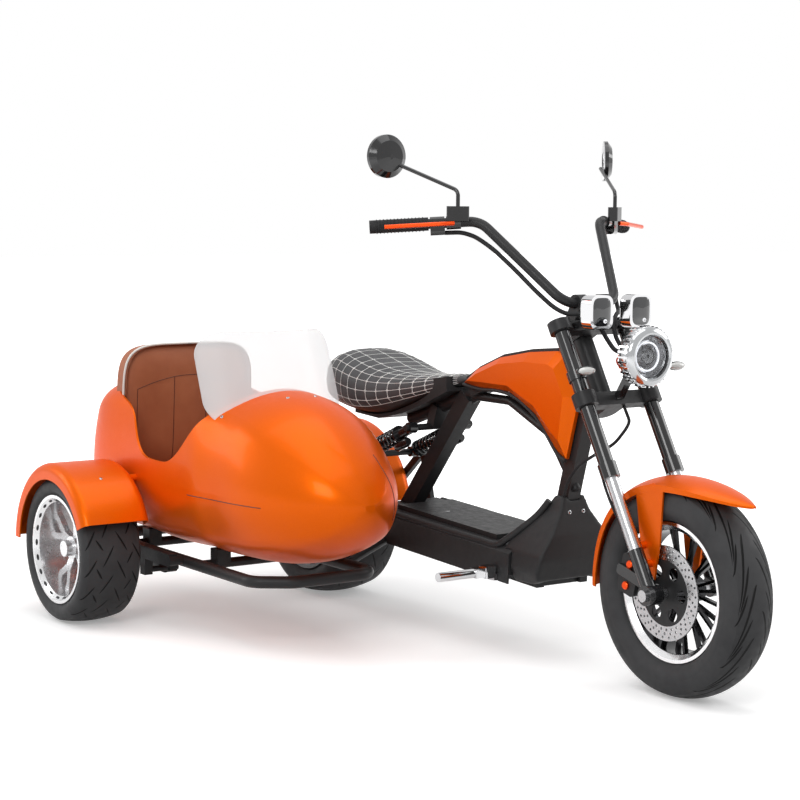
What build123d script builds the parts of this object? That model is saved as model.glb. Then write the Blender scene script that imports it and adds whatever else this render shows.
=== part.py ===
from build123d import *
import math
import os

# Electric scooter with a sidecar on its right side, in millimetres.
# It is drawn with X forwards from the rear axle, Y to the rider's left and Z up from the floor.
# One shift at the end puts the origin on the floor under the middle of the whole vehicle.

# Footboard's place and length, which set the wheelbase
DECK_REAR = 385.0
DECK_LENGTH = 640.0
DECK_FRONT = DECK_REAR + DECK_LENGTH
FRONT_REACH = 505.0         # front axle ahead of the footboard
WHEELBASE = DECK_FRONT + FRONT_REACH
STRETCH = WHEELBASE - 1530.0    # front parts are drawn for this wheelbase and move with it

# Wheels
SIDE_TRACK = 807.0          # scooter's middle plane to the sidecar wheel's middle
SIDE_LEAD = 0.0             # sidecar axle ahead of the rear axle
FRONT_RADIUS = 252.0
FRONT_WIDTH = 126.0
FRONT_BEAD_WIDTH = 72.0
REAR_RADIUS = 240.0
REAR_WIDTH = 200.0
REAR_BEAD_WIDTH = 172.0
SCOOTER_BEAD_RADIUS = 152.0
SIDE_RADIUS = 202.0
SIDE_WIDTH = 172.0
SIDE_BEAD_WIDTH = 146.0
SIDE_BEAD_RADIUS = 134.0
LIP_HEIGHT = 14.0           # rim lip above the bead seat
LIP_WIDTH = 7.0
RIM_WALL = 6.0
AXLE_RADIUS = 8.0
SHAFT_FIT = 0.05            # radial gap of a shaft that turns in its hole
RUN_GAP = 0.5               # end gap between a part that turns and its neighbour

# Steering and fork
RAKE = 30.0
FORK_OFFSET = 50.0
LEG_SPACING = 203.0
LEG_LENGTH = 480.0          # front axle to the underside of the lower clamp
LEG_TUBE_RADIUS = 19.0
LEG_TUBE_BELOW = 186.0
COLLAR_RADIUS = 23.0
COLLAR_LENGTH = 38.0
STANCHION_RADIUS = 16.0
STANCHION_END = 368.0
LOWER_LEG_RADIUS = 18.0
CLAMP_RING_RADIUS = 29.0
LOWER_CLAMP_HEIGHT = 35.0
TOP_CLAMP_HEIGHT = 28.0
CLAMP_GAP = 165.0           # between the two clamps, where the head tube sits
STEM_RADIUS = 14.0
HEAD_TUBE_RADIUS = 25.0
STEER_LIMIT = 35.0

# Handlebar
BAR_RADIUS = 12.5
BAR_LOW_HALF = 80.0
BAR_LOW_X = WHEELBASE - 354.0
BAR_LOW_Z = 908.0
BAR_HIGH_HALF = 192.0
BAR_HIGH_X = WHEELBASE - 556.0
BAR_HIGH_Z = 1106.0
BAR_END_HALF = 410.0
BAR_END_X = WHEELBASE - 710.0
BAR_END_Z = 1089.0
BAR_BEND = 60.0
GRIP_LENGTH = 140.0
GRIP_RADIUS = 16.5
RISER_HALF = 36.0
MIRROR_HALF = 357.0
MIRROR_X = WHEELBASE - 724.0
MIRROR_Z = 1264.0
MIRROR_RADIUS = 54.0
POT_LENGTH = 56.0           # brake fluid pots
POT_WIDTH = 26.0
POT_HEIGHT = 36.0

# Lamps
LAMP_X = WHEELBASE - 134.0
LAMP_Z = 792.0
LAMP_RADIUS = 57.0
LAMP_DEPTH = 72.0
POD_X = WHEELBASE - 262.0
POD_HALF = 62.0
POD_Z = 893.0
SIGNAL_X = WHEELBASE - 198.0
SIGNAL_HALF = 143.0
SIGNAL_Z = 760.0

# Frame and deck
TUBE_RADIUS = 19.0
ARCH_RADIUS = 12.0
DECK_HALF = 128.0
DECK_BOTTOM = 226.0         # at the rear end
DECK_HEIGHT = 92.0
DECK_SLOPE = 2.6            # the deck falls towards the front, degrees
DECK_WALL = 4.0
LID_HALF = 92.0
PANEL_REAR = 96.0           # raised panel of the deck, from the deck's rear end
LID_REAR = 222.0            # the lid is its front part, clear of the frame's slanting strut
LID_TO_FRONT = 100.0        # from the lid to the front end of the deck
LID_LENGTH = DECK_LENGTH - LID_REAR - LID_TO_FRONT
LID_RISE = 13.0
LID_GAP = 0.8
KNUCKLE_RADIUS = 4.0
LID_PIN_RADIUS = 1.8
LID_PIN_Y = LID_HALF + 3.5
LID_PIN_Z = DECK_HEIGHT + KNUCKLE_RADIUS - 0.5

# Saddle and rear end
SHOCK_HALF = 90.0
SHOCK_TOP_X = 543.0
SHOCK_TOP_Z = 543.0
SHOCK_LOW_X = 296.0
SHOCK_LOW_Z = 440.0
FENDER_WALL = 4.0
ARM_HALF = 128.0
REAR_FENDER_RADIUS = 268.0
REAR_FENDER_HALF = 118.0
FRONT_FENDER_HALF = 72.0

# Sidecar
TUB_Y = 357.0 - SIDE_TRACK
TUB_WALL = 5.0
RAIL_RADIUS = 16.0
RAIL_Z = 184.0

os.makedirs("parts", exist_ok=True)
nodes = {}
bodies = {}


def put(body, name, shape):
    """Keep a finished piece under its node name and body."""
    nodes[name] = shape
    bodies.setdefault(body, []).append(name)


def rod(start, end, radius):
    """Round bar between two points."""
    run = Vector(end) - Vector(start)
    return extrude(Plane(origin=start, z_dir=run) * Circle(radius), amount=run.length)


def tube(points, radius, bend):
    """Round bar along straight runs with rounded corners."""
    path = FilletPolyline(*points, radius=bend)
    start = Plane(origin=path @ 0, z_dir=path % 0)
    return sweep(start * Circle(radius), path=path)


def beam(start, end, width, depth):
    """Rectangular bar between two points in an upright plane, width along Y."""
    run = Vector(end) - Vector(start)
    base = Plane(origin=start, x_dir=(0, 1, 0), z_dir=run)
    return extrude(base * Rectangle(width, depth), amount=run.length)


def block(low, high):
    """Box from its lowest to its highest corner."""
    size = [b - a for a, b in zip(low, high)]
    middle = [(a + b) / 2 for a, b in zip(low, high)]
    return Pos(*middle) * Box(*size)


def both(shape):
    """A piece and its mirror image across the scooter's middle plane."""
    return [shape, mirror(shape, about=Plane.XZ)]


def moved(points):
    """Points of a front part at its place for the present wheelbase."""
    return [(point[0] + STRETCH, *point[1:]) for point in points]


def spread(points):
    """Spine points: fixed under the saddle, stretched ahead of it and moved with the fork at the head."""
    ends = (680.0, 980.0)
    shares = [min(max((point[0] - ends[0]) / (ends[1] - ends[0]), 0), 1) for point in points]
    return [(point[0] + STRETCH * share, *point[1:]) for point, share in zip(points, shares)]


def wheel_ring(outline):
    """Revolve an outline of (y, r) corners about the wheel's axle."""
    face = make_face(Polyline(*[(y, r) for y, r in outline], close=True))
    return revolve(Plane(origin=(0, 0, 0), x_dir=(0, 1, 0), z_dir=(1, 0, 0)) * face, axis=Axis.Y)


def tyre(radius, width, bead_radius, bead_width):
    """Tyre: a flat bead ring, bulging sides and a crowned tread."""
    half = width / 2
    bead = bead_width / 2
    lip = bead_radius + LIP_HEIGHT + 1
    bulge = lip + (radius - lip) * 0.45
    shoulder = radius - (radius - bulge) * 0.30
    tread_half = half * 0.86
    edges = [
        Line((-bead, bead_radius), (bead, bead_radius)),
        Line((bead, bead_radius), (bead, lip)),
        ThreePointArc((bead, lip), (half * 0.99, lip + (bulge - lip) * 0.6), (half, bulge)),
        ThreePointArc((half, bulge), (half * 0.97, (bulge + shoulder) / 2), (tread_half, shoulder)),
        ThreePointArc((tread_half, shoulder), (0, radius), (-tread_half, shoulder)),
        ThreePointArc((-tread_half, shoulder), (-half * 0.97, (bulge + shoulder) / 2), (-half, bulge)),
        ThreePointArc((-half, bulge), (-half * 0.99, lip + (bulge - lip) * 0.6), (-bead, lip)),
        Line((-bead, lip), (-bead, bead_radius)),
    ]
    face = make_face(edges)
    return revolve(Plane(origin=(0, 0, 0), x_dir=(0, 1, 0), z_dir=(1, 0, 0)) * face, axis=Axis.Y)


def rim_barrel(bead_radius, bead_width):
    """Rim barrel with a lip on each side."""
    bead = bead_width / 2
    edge = bead + LIP_WIDTH
    lip = bead_radius + LIP_HEIGHT
    return wheel_ring([
        (-edge, lip), (-bead, lip), (-bead, bead_radius), (bead, bead_radius), (bead, lip), (edge, lip),
        (edge, lip - 8), (bead - 4, bead_radius - RIM_WALL),
        (-bead + 4, bead_radius - RIM_WALL), (-edge, lip - 8),
    ])


def disc_y(radius, y_from, y_to):
    """Cylinder about the wheel's axle between two Y planes."""
    return Pos(0, (y_from + y_to) / 2, 0) * Rot(90, 0, 0) * Cylinder(radius, abs(y_to - y_from))


front_axle_at = Vector(WHEELBASE, 0, FRONT_RADIUS)
rear_axle_at = Vector(0, 0, REAR_RADIUS)
side_axle_at = Vector(SIDE_LEAD, -SIDE_TRACK, SIDE_RADIUS)

# Front wheel: cast rim with pairs of thin spokes
FRONT_HUB_RADIUS = 30.0
FRONT_HUB_HALF = 46.0
SPOKE_PAIRS = 12
SPOKE_SPREAD = 9.0
SPOKE_WIDTH = 7.0
SPOKE_DEPTH = 12.0
DISC_RADIUS = 112.0
DISC_INNER = 78.0
DISC_Y = -57.0
DISC_THICK = 4.0

front_rim = rim_barrel(SCOOTER_BEAD_RADIUS, FRONT_BEAD_WIDTH)
front_rim += disc_y(FRONT_HUB_RADIUS, -FRONT_HUB_HALF, FRONT_HUB_HALF)
spoke_reach = SCOOTER_BEAD_RADIUS - RIM_WALL / 2 - FRONT_HUB_RADIUS + 6
for number in range(SPOKE_PAIRS):
    for side in (-1, 1):
        spoke = Pos(0, side * 9, FRONT_HUB_RADIUS - 6 + spoke_reach / 2)
        spoke = Rot(0, side * SPOKE_SPREAD, 0) * spoke * Box(SPOKE_WIDTH, SPOKE_DEPTH, spoke_reach)
        front_rim += Rot(0, number * 360 / SPOKE_PAIRS, 0) * spoke
front_keep = disc_y(SCOOTER_BEAD_RADIUS - 1, -FRONT_WIDTH, FRONT_WIDTH)
front_keep += rim_barrel(SCOOTER_BEAD_RADIUS, FRONT_BEAD_WIDTH)
front_rim &= front_keep
front_rim -= disc_y(AXLE_RADIUS + SHAFT_FIT, -100, 100)

front_disc = disc_y(DISC_RADIUS, DISC_Y - DISC_THICK / 2, DISC_Y + DISC_THICK / 2)
front_disc -= disc_y(DISC_INNER, DISC_Y - DISC_THICK, DISC_Y + DISC_THICK)
carrier = disc_y(DISC_INNER + 4, DISC_Y - 1.5, DISC_Y + 1.5)
carrier += disc_y(FRONT_HUB_RADIUS, DISC_Y - 1.5, -FRONT_HUB_HALF)
for number in range(6):
    carrier -= Rot(0, number * 60, 0) * Pos(0, DISC_Y, 56) * Rot(90, 0, 0) * Cylinder(13, 10)
front_disc += carrier
front_disc -= disc_y(AXLE_RADIUS + SHAFT_FIT, -100, 100)

front_tyre = tyre(FRONT_RADIUS, FRONT_WIDTH, SCOOTER_BEAD_RADIUS, FRONT_BEAD_WIDTH)
for name, shape in (("front_tyre", front_tyre), ("front_rim", front_rim), ("front_disc", front_disc)):
    put("front_wheel", name, Pos(*front_axle_at) * shape)

# Rear wheel: the motor is the hub
MOTOR_RADIUS = 118.0
MOTOR_HALF = 62.0
rear_rim = rim_barrel(SCOOTER_BEAD_RADIUS, REAR_BEAD_WIDTH)
rear_rim += disc_y(MOTOR_RADIUS, -MOTOR_HALF, MOTOR_HALF)
rear_rim += disc_y(SCOOTER_BEAD_RADIUS - 2, -14, 14)
rear_rim += disc_y(46, -MOTOR_HALF - 10, MOTOR_HALF + 10)
rear_rim -= disc_y(AXLE_RADIUS + SHAFT_FIT, -120, 120)
put("rear_wheel", "rear_tyre",
    Pos(*rear_axle_at) * tyre(REAR_RADIUS, REAR_WIDTH, SCOOTER_BEAD_RADIUS, REAR_BEAD_WIDTH))
put("rear_wheel", "rear_rim", Pos(*rear_axle_at) * rear_rim)

# Sidecar wheel: deep dish with five forked spokes near its inner side
SIDE_HUB_RADIUS = 32.0
SIDE_HUB_OUT = -34.0
SIDE_HUB_IN = 60.0
SIDE_SPOKES = 5
side_rim = rim_barrel(SIDE_BEAD_RADIUS, SIDE_BEAD_WIDTH)
side_rim += disc_y(SIDE_HUB_RADIUS, SIDE_HUB_OUT, SIDE_HUB_IN)
side_rim += disc_y(22, SIDE_HUB_OUT - 22, SIDE_HUB_OUT)
for number in range(SIDE_SPOKES):
    turn = Rot(0, number * 360 / SIDE_SPOKES, 0)
    side_rim += turn * Pos(0, -12, 55) * Box(26, 18, 60)
    for side in (-1, 1):
        side_rim += turn * Pos(side * 15, -12, 100) * Rot(0, side * 24, 0) * Box(18, 16, 62)
side_keep = disc_y(SIDE_BEAD_RADIUS - 1, -SIDE_WIDTH, SIDE_WIDTH)
side_keep += rim_barrel(SIDE_BEAD_RADIUS, SIDE_BEAD_WIDTH)
side_rim &= side_keep
side_rim -= disc_y(AXLE_RADIUS + SHAFT_FIT, -30, 120)
put("sidecar_wheel", "sidecar_tyre",
    Pos(*side_axle_at) * tyre(SIDE_RADIUS, SIDE_WIDTH, SIDE_BEAD_RADIUS, SIDE_BEAD_WIDTH))
put("sidecar_wheel", "sidecar_rim", Pos(*side_axle_at) * side_rim)

# Steering frame: x ahead of the steering axis, z along it, origin level with the lower clamp's underside
tilt = math.radians(RAKE)
ahead = Vector(math.cos(tilt), 0, math.sin(tilt))
along = Vector(-math.sin(tilt), 0, math.cos(tilt))
steer_at = front_axle_at - ahead * FORK_OFFSET + along * LEG_LENGTH
steer = Plane(origin=steer_at, x_dir=ahead, z_dir=along)
half_legs = LEG_SPACING / 2
top_clamp_v = LOWER_CLAMP_HEIGHT + CLAMP_GAP
leg_top = top_clamp_v + TOP_CLAMP_HEIGHT


def on_fork(x, y, z):
    """World point of a point in the steering frame."""
    return steer.from_local_coords(Vector(x, y, z))


def leg_piece(radius, low, high):
    """One right and one left cylinder on the fork legs."""
    return [
        rod(on_fork(FORK_OFFSET, side * half_legs, low), on_fork(FORK_OFFSET, side * half_legs, high),
            radius)
        for side in (-1, 1)
    ]


leg_tubes = leg_piece(LEG_TUBE_RADIUS, -LEG_TUBE_BELOW + COLLAR_LENGTH, leg_top + 3)
collars = leg_piece(COLLAR_RADIUS, -LEG_TUBE_BELOW, -LEG_TUBE_BELOW + COLLAR_LENGTH)
put("steering", "fork_tubes", Compound([a + b for a, b in zip(leg_tubes, collars)]))
stanchions = leg_piece(STANCHION_RADIUS, -STANCHION_END, -LEG_TUBE_BELOW)
put("steering", "fork_stanchions", Compound(stanchions))

lower_legs = []
for leg, side in zip(leg_piece(LOWER_LEG_RADIUS, -LEG_LENGTH - 12, -STANCHION_END), (-1, 1)):
    eye = Pos(*front_axle_at) * disc_y(24, side * (half_legs - 20), side * (half_legs + 20))
    lower = leg + eye
    lower -= Pos(*front_axle_at) * disc_y(AXLE_RADIUS, -200, 200)
    lower_legs.append(lower)
axle_half = half_legs + 28
front_axle = Pos(*front_axle_at) * disc_y(AXLE_RADIUS, -axle_half, axle_half)
spacer_ends = {-1: DISC_Y - DISC_THICK / 2 - RUN_GAP, 1: FRONT_HUB_HALF + RUN_GAP}
for side in (-1, 1):
    front_axle += Pos(*front_axle_at) * disc_y(14, side * (half_legs + 20), side * axle_half)
    front_axle += Pos(*front_axle_at) * disc_y(13, side * (half_legs - 20), spacer_ends[side])
put("steering", "front_axle", front_axle)


def clamp(low, height, stem_radius):
    """Fork clamp: a plate that wraps both legs and the stem."""
    rings = [Pos(FORK_OFFSET, side * half_legs) * Circle(CLAMP_RING_RADIUS) for side in (-1, 1)]
    plate = Pos(FORK_OFFSET - 8, 0) * Rectangle(30, LEG_SPACING)
    outline = rings[0] + rings[1] + plate + Circle(27) + Pos(20, 0) * Rectangle(44, 54)
    body = extrude(steer.offset(low) * outline, amount=height)
    for leg in leg_piece(LEG_TUBE_RADIUS, -60, leg_top + 30):
        body -= leg
    if stem_radius:
        body -= rod(on_fork(0, 0, low - 5), on_fork(0, 0, low + height + 5), stem_radius)
    return body


lower_clamp = clamp(0, LOWER_CLAMP_HEIGHT, 0)
stem = rod(on_fork(0, 0, LOWER_CLAMP_HEIGHT), on_fork(0, 0, leg_top + 8), STEM_RADIUS)
put("steering", "lower_clamp", lower_clamp + stem)
top_clamp = clamp(top_clamp_v, TOP_CLAMP_HEIGHT, STEM_RADIUS)
put("steering", "top_clamp", top_clamp)

# Lower legs carry the caliper bracket on the right
CALIPER_TURN = 165.0
caliper_at = front_axle_at + Vector(0, DISC_Y, 0)
caliper_x = (math.cos(math.radians(CALIPER_TURN)), 0, math.sin(math.radians(CALIPER_TURN)))
caliper_plane = Plane(origin=caliper_at, x_dir=caliper_x, z_dir=(0, -1, 0))
caliper = extrude(caliper_plane.offset(-16) * Pos(110, 0) * RectangleRounded(62, 96, 12), amount=38)
caliper -= extrude(caliper_plane.offset(-4.5) * Pos(DISC_RADIUS - 60, 0) * Rectangle(134, 120), amount=9)
put("steering", "front_caliper", caliper)
bracket_plate = extrude(caliper_plane.offset(22) * Pos(82, -6) * RectangleRounded(120, 26, 8), amount=10)
lower_legs[0] += bracket_plate
put("steering", "fork_lower_legs", Compound(lower_legs))

# Handlebar, its risers and what it carries
bar_points = [
    (BAR_END_X, -BAR_END_HALF, BAR_END_Z), (BAR_HIGH_X, -BAR_HIGH_HALF, BAR_HIGH_Z),
    (BAR_LOW_X, -BAR_LOW_HALF, BAR_LOW_Z), (BAR_LOW_X, BAR_LOW_HALF, BAR_LOW_Z),
    (BAR_HIGH_X, BAR_HIGH_HALF, BAR_HIGH_Z), (BAR_END_X, BAR_END_HALF, BAR_END_Z),
]
bar = tube(bar_points, BAR_RADIUS, BAR_BEND)
for side in (-1, 1):
    foot = on_fork(14, side * RISER_HALF, leg_top)
    top = Vector(BAR_LOW_X, side * RISER_HALF, BAR_LOW_Z)
    riser = beam(foot, top + (top - foot) * 0.1, 26, 34)
    riser += Pos(*top) * Rot(90, 0, 0) * Cylinder(23, 30)
    riser = split(riser, bisect_by=steer.offset(leg_top), keep=Keep.TOP)
    bar += riser
put("steering", "handlebar", bar)

bar_end = Vector(BAR_END_X, BAR_END_HALF, BAR_END_Z)
grip_run = (bar_end - Vector(BAR_HIGH_X, BAR_HIGH_HALF, BAR_HIGH_Z)).normalized()
grip = rod(bar_end - grip_run * GRIP_LENGTH, bar_end + grip_run * 6, GRIP_RADIUS)
grip -= rod(bar_end - grip_run * (GRIP_LENGTH + 5), bar_end, BAR_RADIUS)
put("steering", "grips", Compound(both(grip)))

forwards = grip_run.cross(Vector(0, 0, 1)).normalized()    # level and square to the grip
control_at = bar_end - grip_run * (GRIP_LENGTH + 22)
control_plane = Plane(origin=control_at, x_dir=forwards, z_dir=grip_run)
switch = extrude(control_plane.offset(-18) * Pos(0, 6) * RectangleRounded(40, 46, 10), amount=36)
switch -= rod(control_at - grip_run * 40, control_at + grip_run * 40, BAR_RADIUS)
put("steering", "switch_housings", Compound(both(switch)))
master_at = control_at - grip_run * 40
reach = control_plane.x_dir
master_plane = Plane(origin=master_at, x_dir=reach, z_dir=grip_run)
master = extrude(master_plane.offset(-18) * Circle(17), amount=36)
pot_at = master_at + reach * 28 - grip_run * 10
pot_plane = Plane(origin=pot_at + Vector(0, 0, 4), x_dir=grip_run, z_dir=(0, 0, 1))
pot = extrude(pot_plane * RectangleRounded(POT_LENGTH, POT_WIDTH, 8), amount=POT_HEIGHT)
master += pot
master -= rod(master_at - grip_run * 40, master_at + grip_run * 40, BAR_RADIUS)
put("steering", "brake_masters", Compound(both(master)))
lever_root = master_at + reach * 38 + Vector(0, 0, -1)
lever_knee = lever_root + reach * 14 + grip_run * 30
lever_points = [lever_root, lever_knee, lever_root + reach * 20 + grip_run * 170]
lever = tube(lever_points, 5.5, 14)
lever -= master
put("steering", "brake_levers", Compound(both(lever)))


def mirror_head(side, face_turn):
    """Round mirror on its stem; face_turn is the heading of its back, degrees from forwards."""
    heading = math.radians(face_turn)
    back = Vector(math.cos(heading), math.sin(heading), 0)
    middle = Vector(MIRROR_X, side * MIRROR_HALF, MIRROR_Z)
    shell = Plane(origin=middle, x_dir=(0, 0, 1), z_dir=back)
    outline = [(0, -8), (MIRROR_RADIUS, -8), (MIRROR_RADIUS, 2), (MIRROR_RADIUS * 0.72, 13), (0, 18)]
    profile = make_face(Polyline(*outline, close=True))
    turned = revolve(Plane(origin=middle, x_dir=shell.x_dir, z_dir=shell.y_dir * -1) * profile,
                     axis=Axis(middle, back))
    foot = Vector(pot_at.X, side * pot_at.Y, pot_at.Z + 4 + POT_HEIGHT)
    join = middle + back * 8 + Vector(0, -side * 30, -20)
    knee = foot + Vector(0, 0, 38)
    return turned + tube([foot, knee, join], 5, 18)


put("steering", "mirrors", Compound([mirror_head(-1, -2.0), mirror_head(1, 55.0)]))

# Headlight: a finned bowl with a clear face
lamp_axis = Axis((LAMP_X, 0, LAMP_Z), (1, 0, 0))
bowl_outline = [
    (-LAMP_DEPTH, 0), (-LAMP_DEPTH, 20), (-LAMP_DEPTH * 0.72, 42), (-26, 54), (-14, 57), (0, 57),
    (0, 50), (-12, 48), (-40, 20), (-40, 0),
]
lamp_plane = Plane(origin=(LAMP_X, 0, LAMP_Z), x_dir=(1, 0, 0), z_dir=(0, -1, 0))
bowl = revolve(lamp_plane * make_face(Polyline(*bowl_outline, close=True)), axis=lamp_axis)
for number in range(24):
    fin = Pos(LAMP_X - 24, 0, LAMP_Z) * Rot(number * 15 + 3.5, 0, 0) * Pos(0, 0, 55) * Box(26, 4, 7)
    bowl += fin
lens_outline = [(-11, 0), (-11, 47.5), (0, 49.5), (5, 40), (8, 0)]
lens = revolve(lamp_plane * make_face(Polyline(*lens_outline, close=True)), axis=lamp_axis)
put("steering", "headlight_lens", lens)
arm_root = on_fork(FORK_OFFSET + 7, 0, LOWER_CLAMP_HEIGHT / 2)
arm = beam(arm_root, Vector(LAMP_X - 56, 0, LAMP_Z - 26), 22, 14)
put("steering", "headlight_shell", bowl + arm - lower_clamp)

# Two small lamp pods beside each other above the headlight
pod = Pos(POD_X, -POD_HALF, POD_Z) * Box(46, 70, 82)
pod = fillet(pod.edges().filter_by(Axis.X), 20)
pod = fillet(pod.edges().group_by(Axis.X)[0], 12)
stalk_root = on_fork(FORK_OFFSET - 2, -POD_HALF, top_clamp_v + TOP_CLAMP_HEIGHT / 2)
pod_stalk = beam(stalk_root, Vector(POD_X - 16, -POD_HALF, POD_Z - 22), 16, 14) - top_clamp
put("steering", "lamp_pods", Compound(both(pod + pod_stalk)))

# Turn signals on short stalks
signal = Pos(SIGNAL_X, -SIGNAL_HALF, SIGNAL_Z) * scale(Sphere(12), by=(1.3, 2.4, 0.95))
stalk_in = on_fork(FORK_OFFSET + LEG_TUBE_RADIUS - 4, -half_legs, 82)
stalk = rod(Vector(SIGNAL_X, -SIGNAL_HALF, SIGNAL_Z), stalk_in, 6)
ring = rod(on_fork(FORK_OFFSET, -half_legs, 70), on_fork(FORK_OFFSET, -half_legs, 94), LEG_TUBE_RADIUS + 4)
signal = signal + stalk + ring
signal -= leg_piece(LEG_TUBE_RADIUS, 0, leg_top)[0]
put("steering", "turn_signals", Compound(both(signal)))


def fender_arc(middle, radius, half, wall, skirt, start, end):
    """Mudguard: a crowned strip over a wheel with a skirt on each side, from one angle to another."""
    inner = radius - wall
    bend = wall + 20
    near = bend * (1 - math.sqrt(0.5))
    inset = wall + (bend - wall) * (1 - math.sqrt(0.5))
    edges = [
        Line((-half, inner - skirt), (-half, radius - bend)),
        ThreePointArc((-half, radius - bend), (-half + near, radius - near), (-half + bend, radius)),
        Line((-half + bend, radius), (half - bend, radius)),
        ThreePointArc((half - bend, radius), (half - near, radius - near), (half, radius - bend)),
        Line((half, radius - bend), (half, inner - skirt)),
        Line((half, inner - skirt), (half - wall, inner - skirt)),
        Line((half - wall, inner - skirt), (half - wall, radius - bend)),
        ThreePointArc((half - wall, radius - bend), (half - inset, radius - inset), (half - bend, inner)),
        Line((half - bend, inner), (-half + bend, inner)),
        ThreePointArc((-half + bend, inner), (-half + inset, radius - inset), (-half + wall, radius - bend)),
        Line((-half + wall, radius - bend), (-half + wall, inner - skirt)),
        Line((-half + wall, inner - skirt), (-half, inner - skirt)),
    ]
    face = make_face(edges)
    ring_face = Plane(origin=(0, 0, 0), x_dir=(0, 1, 0), z_dir=(1, 0, 0)) * face
    swept = revolve(Rot(0, 90 - start, 0) * ring_face, axis=Axis.Y, revolution_arc=-(end - start))
    return Pos(*middle) * swept


# Front mudguard: crowned sections along the wheel that flatten out into a pointed tip
front_line = [
    # x, z, half width, crown, depth of the sides
    (1264, 232, 66, 16, 26),
    (1280, 345, 70, 18, 30),
    (1325, 430, 72, 18, 32),
    (1395, 490, 72, 18, 34),
    (1483, 520, 72, 18, 34),
    (1565, 523, 70, 18, 32),
    (1640, 513, 60, 16, 26),
    (1704, 498, 38, 11, 18),
    (1757, 482, 5, 3, 7),
]
front_line = moved(front_line)


def fender_face(index, wall):
    """Arched section across the mudguard, square to its line; wall insets it for the hollow."""
    x, z, half, crown, depth = front_line[index]
    before = front_line[max(index - 1, 0)]
    after = front_line[min(index + 1, len(front_line) - 1)]
    heading = Vector(after[0] - before[0], 0, after[1] - before[1]).normalized()
    section = Plane(origin=(x, 0, z), x_dir=(0, 1, 0), z_dir=heading)
    w = max(half - wall, 1.5)
    low = -depth - (3 * wall if wall else 0)
    edges = [
        ThreePointArc((-w, -crown - wall / 2), (0, -wall), (w, -crown - wall / 2)),
        Line((w, -crown - wall / 2), (w, low)),
        Line((w, low), (-w, low)),
        Line((-w, low), (-w, -crown - wall / 2)),
    ]
    return section * make_face(edges)


stations = range(len(front_line))
front_fender = loft(Sketch() + [fender_face(index, 0) for index in stations])
front_fender -= loft(Sketch() + [fender_face(index, FENDER_WALL) for index in stations])
front_fender = front_fender.solids().sort_by(SortBy.VOLUME)[-1]
plate_profile = [(-34, 255), (0, 245), (-8, 120), (-24, 28), (-50, 24), (-66, 62), (-95, 235)]
for side in (-1, 1):
    plate_at = front_axle_at + Vector(0, side * (FRONT_FENDER_HALF - 1), 0)
    plate_plane = Plane(origin=plate_at, x_dir=(1, 0, 0), z_dir=(0, -1, 0))
    plate = make_face(Polyline(*plate_profile, close=True))
    front_fender += extrude(plate_plane * plate, amount=(FENDER_WALL + 1) * side)
    for height in (76, 122):
        spot = on_fork(FORK_OFFSET, 0, -LEG_LENGTH + height)
        boss_start = spot + Vector(0, side * (FRONT_FENDER_HALF - 4), 0)
        boss = rod(boss_start, spot + Vector(0, side * half_legs, 0), 9)
        for leg in leg_piece(LOWER_LEG_RADIUS, -LEG_LENGTH - 12, -STANCHION_END + 40):
            boss -= leg
        front_fender += boss.solids().sort_by(Axis.Y)[0 if side > 0 else -1]
put("steering", "front_fender", front_fender)

# Frame
head_low = LOWER_CLAMP_HEIGHT + RUN_GAP
head_high = top_clamp_v - RUN_GAP
frame = rod(on_fork(0, 0, head_low), on_fork(0, 0, head_high), HEAD_TUBE_RADIUS)
spine_points = [on_fork(-8, 0, head_high - 50), (980, 0, 742), (860, 0, 716), (680, 0, 640), (420, 0, 552)]
spine_points = [spine_points[0]] + spread(spine_points[1:])
frame += tube(spine_points, TUBE_RADIUS, 70)
arch_points = spread([(640, 0, 600), (720, 0, 640), (860, 0, 640), (1030, 0, 570), (1135, 0, 440)])
frame += tube(arch_points, ARCH_RADIUS, 60)
down_top = on_fork(-8, 0, head_low + 64)
DOWN_KNEE = (DECK_FRONT + 73, 0, 400)
DOWN_FOOT = (DECK_FRONT + 37, 0, 212)
STRUT_TOP = (690, 0, 640)
STRUT_FOOT = (362, 0, 243)
frame += beam(down_top, DOWN_KNEE, 40, 40)
frame += beam(DOWN_KNEE, DOWN_FOOT, 40, 40)
frame += Pos(*DOWN_KNEE) * Rot(90, 0, 0) * Cylinder(20, 40)
frame += beam(STRUT_TOP, STRUT_FOOT, 40, 46)

fall = math.radians(DECK_SLOPE)
deck = Plane(origin=(DECK_REAR, 0, DECK_BOTTOM), x_dir=(math.cos(fall), 0, -math.sin(fall)),
             z_dir=(math.sin(fall), 0, math.cos(fall)))


def deck_block(low, high):
    """Box in the deck's own sloping frame."""
    return deck * block(low, high)


RAIL_HALF = 70.0
RAIL_SIZE = 24.0
RAIL_TOP = 22.0
for side in (-1, 1):
    rail_y = side * RAIL_HALF
    frame += deck_block((-60, rail_y - RAIL_SIZE / 2, RAIL_TOP - RAIL_SIZE),
                        (DECK_LENGTH + 60, rail_y + RAIL_SIZE / 2, RAIL_TOP))
for x in (-40, 20, DECK_LENGTH / 2 + 10, DECK_LENGTH + 20):
    frame += deck_block((x, -RAIL_HALF, RAIL_TOP - RAIL_SIZE), (x + 30, RAIL_HALF, RAIL_TOP))

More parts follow.
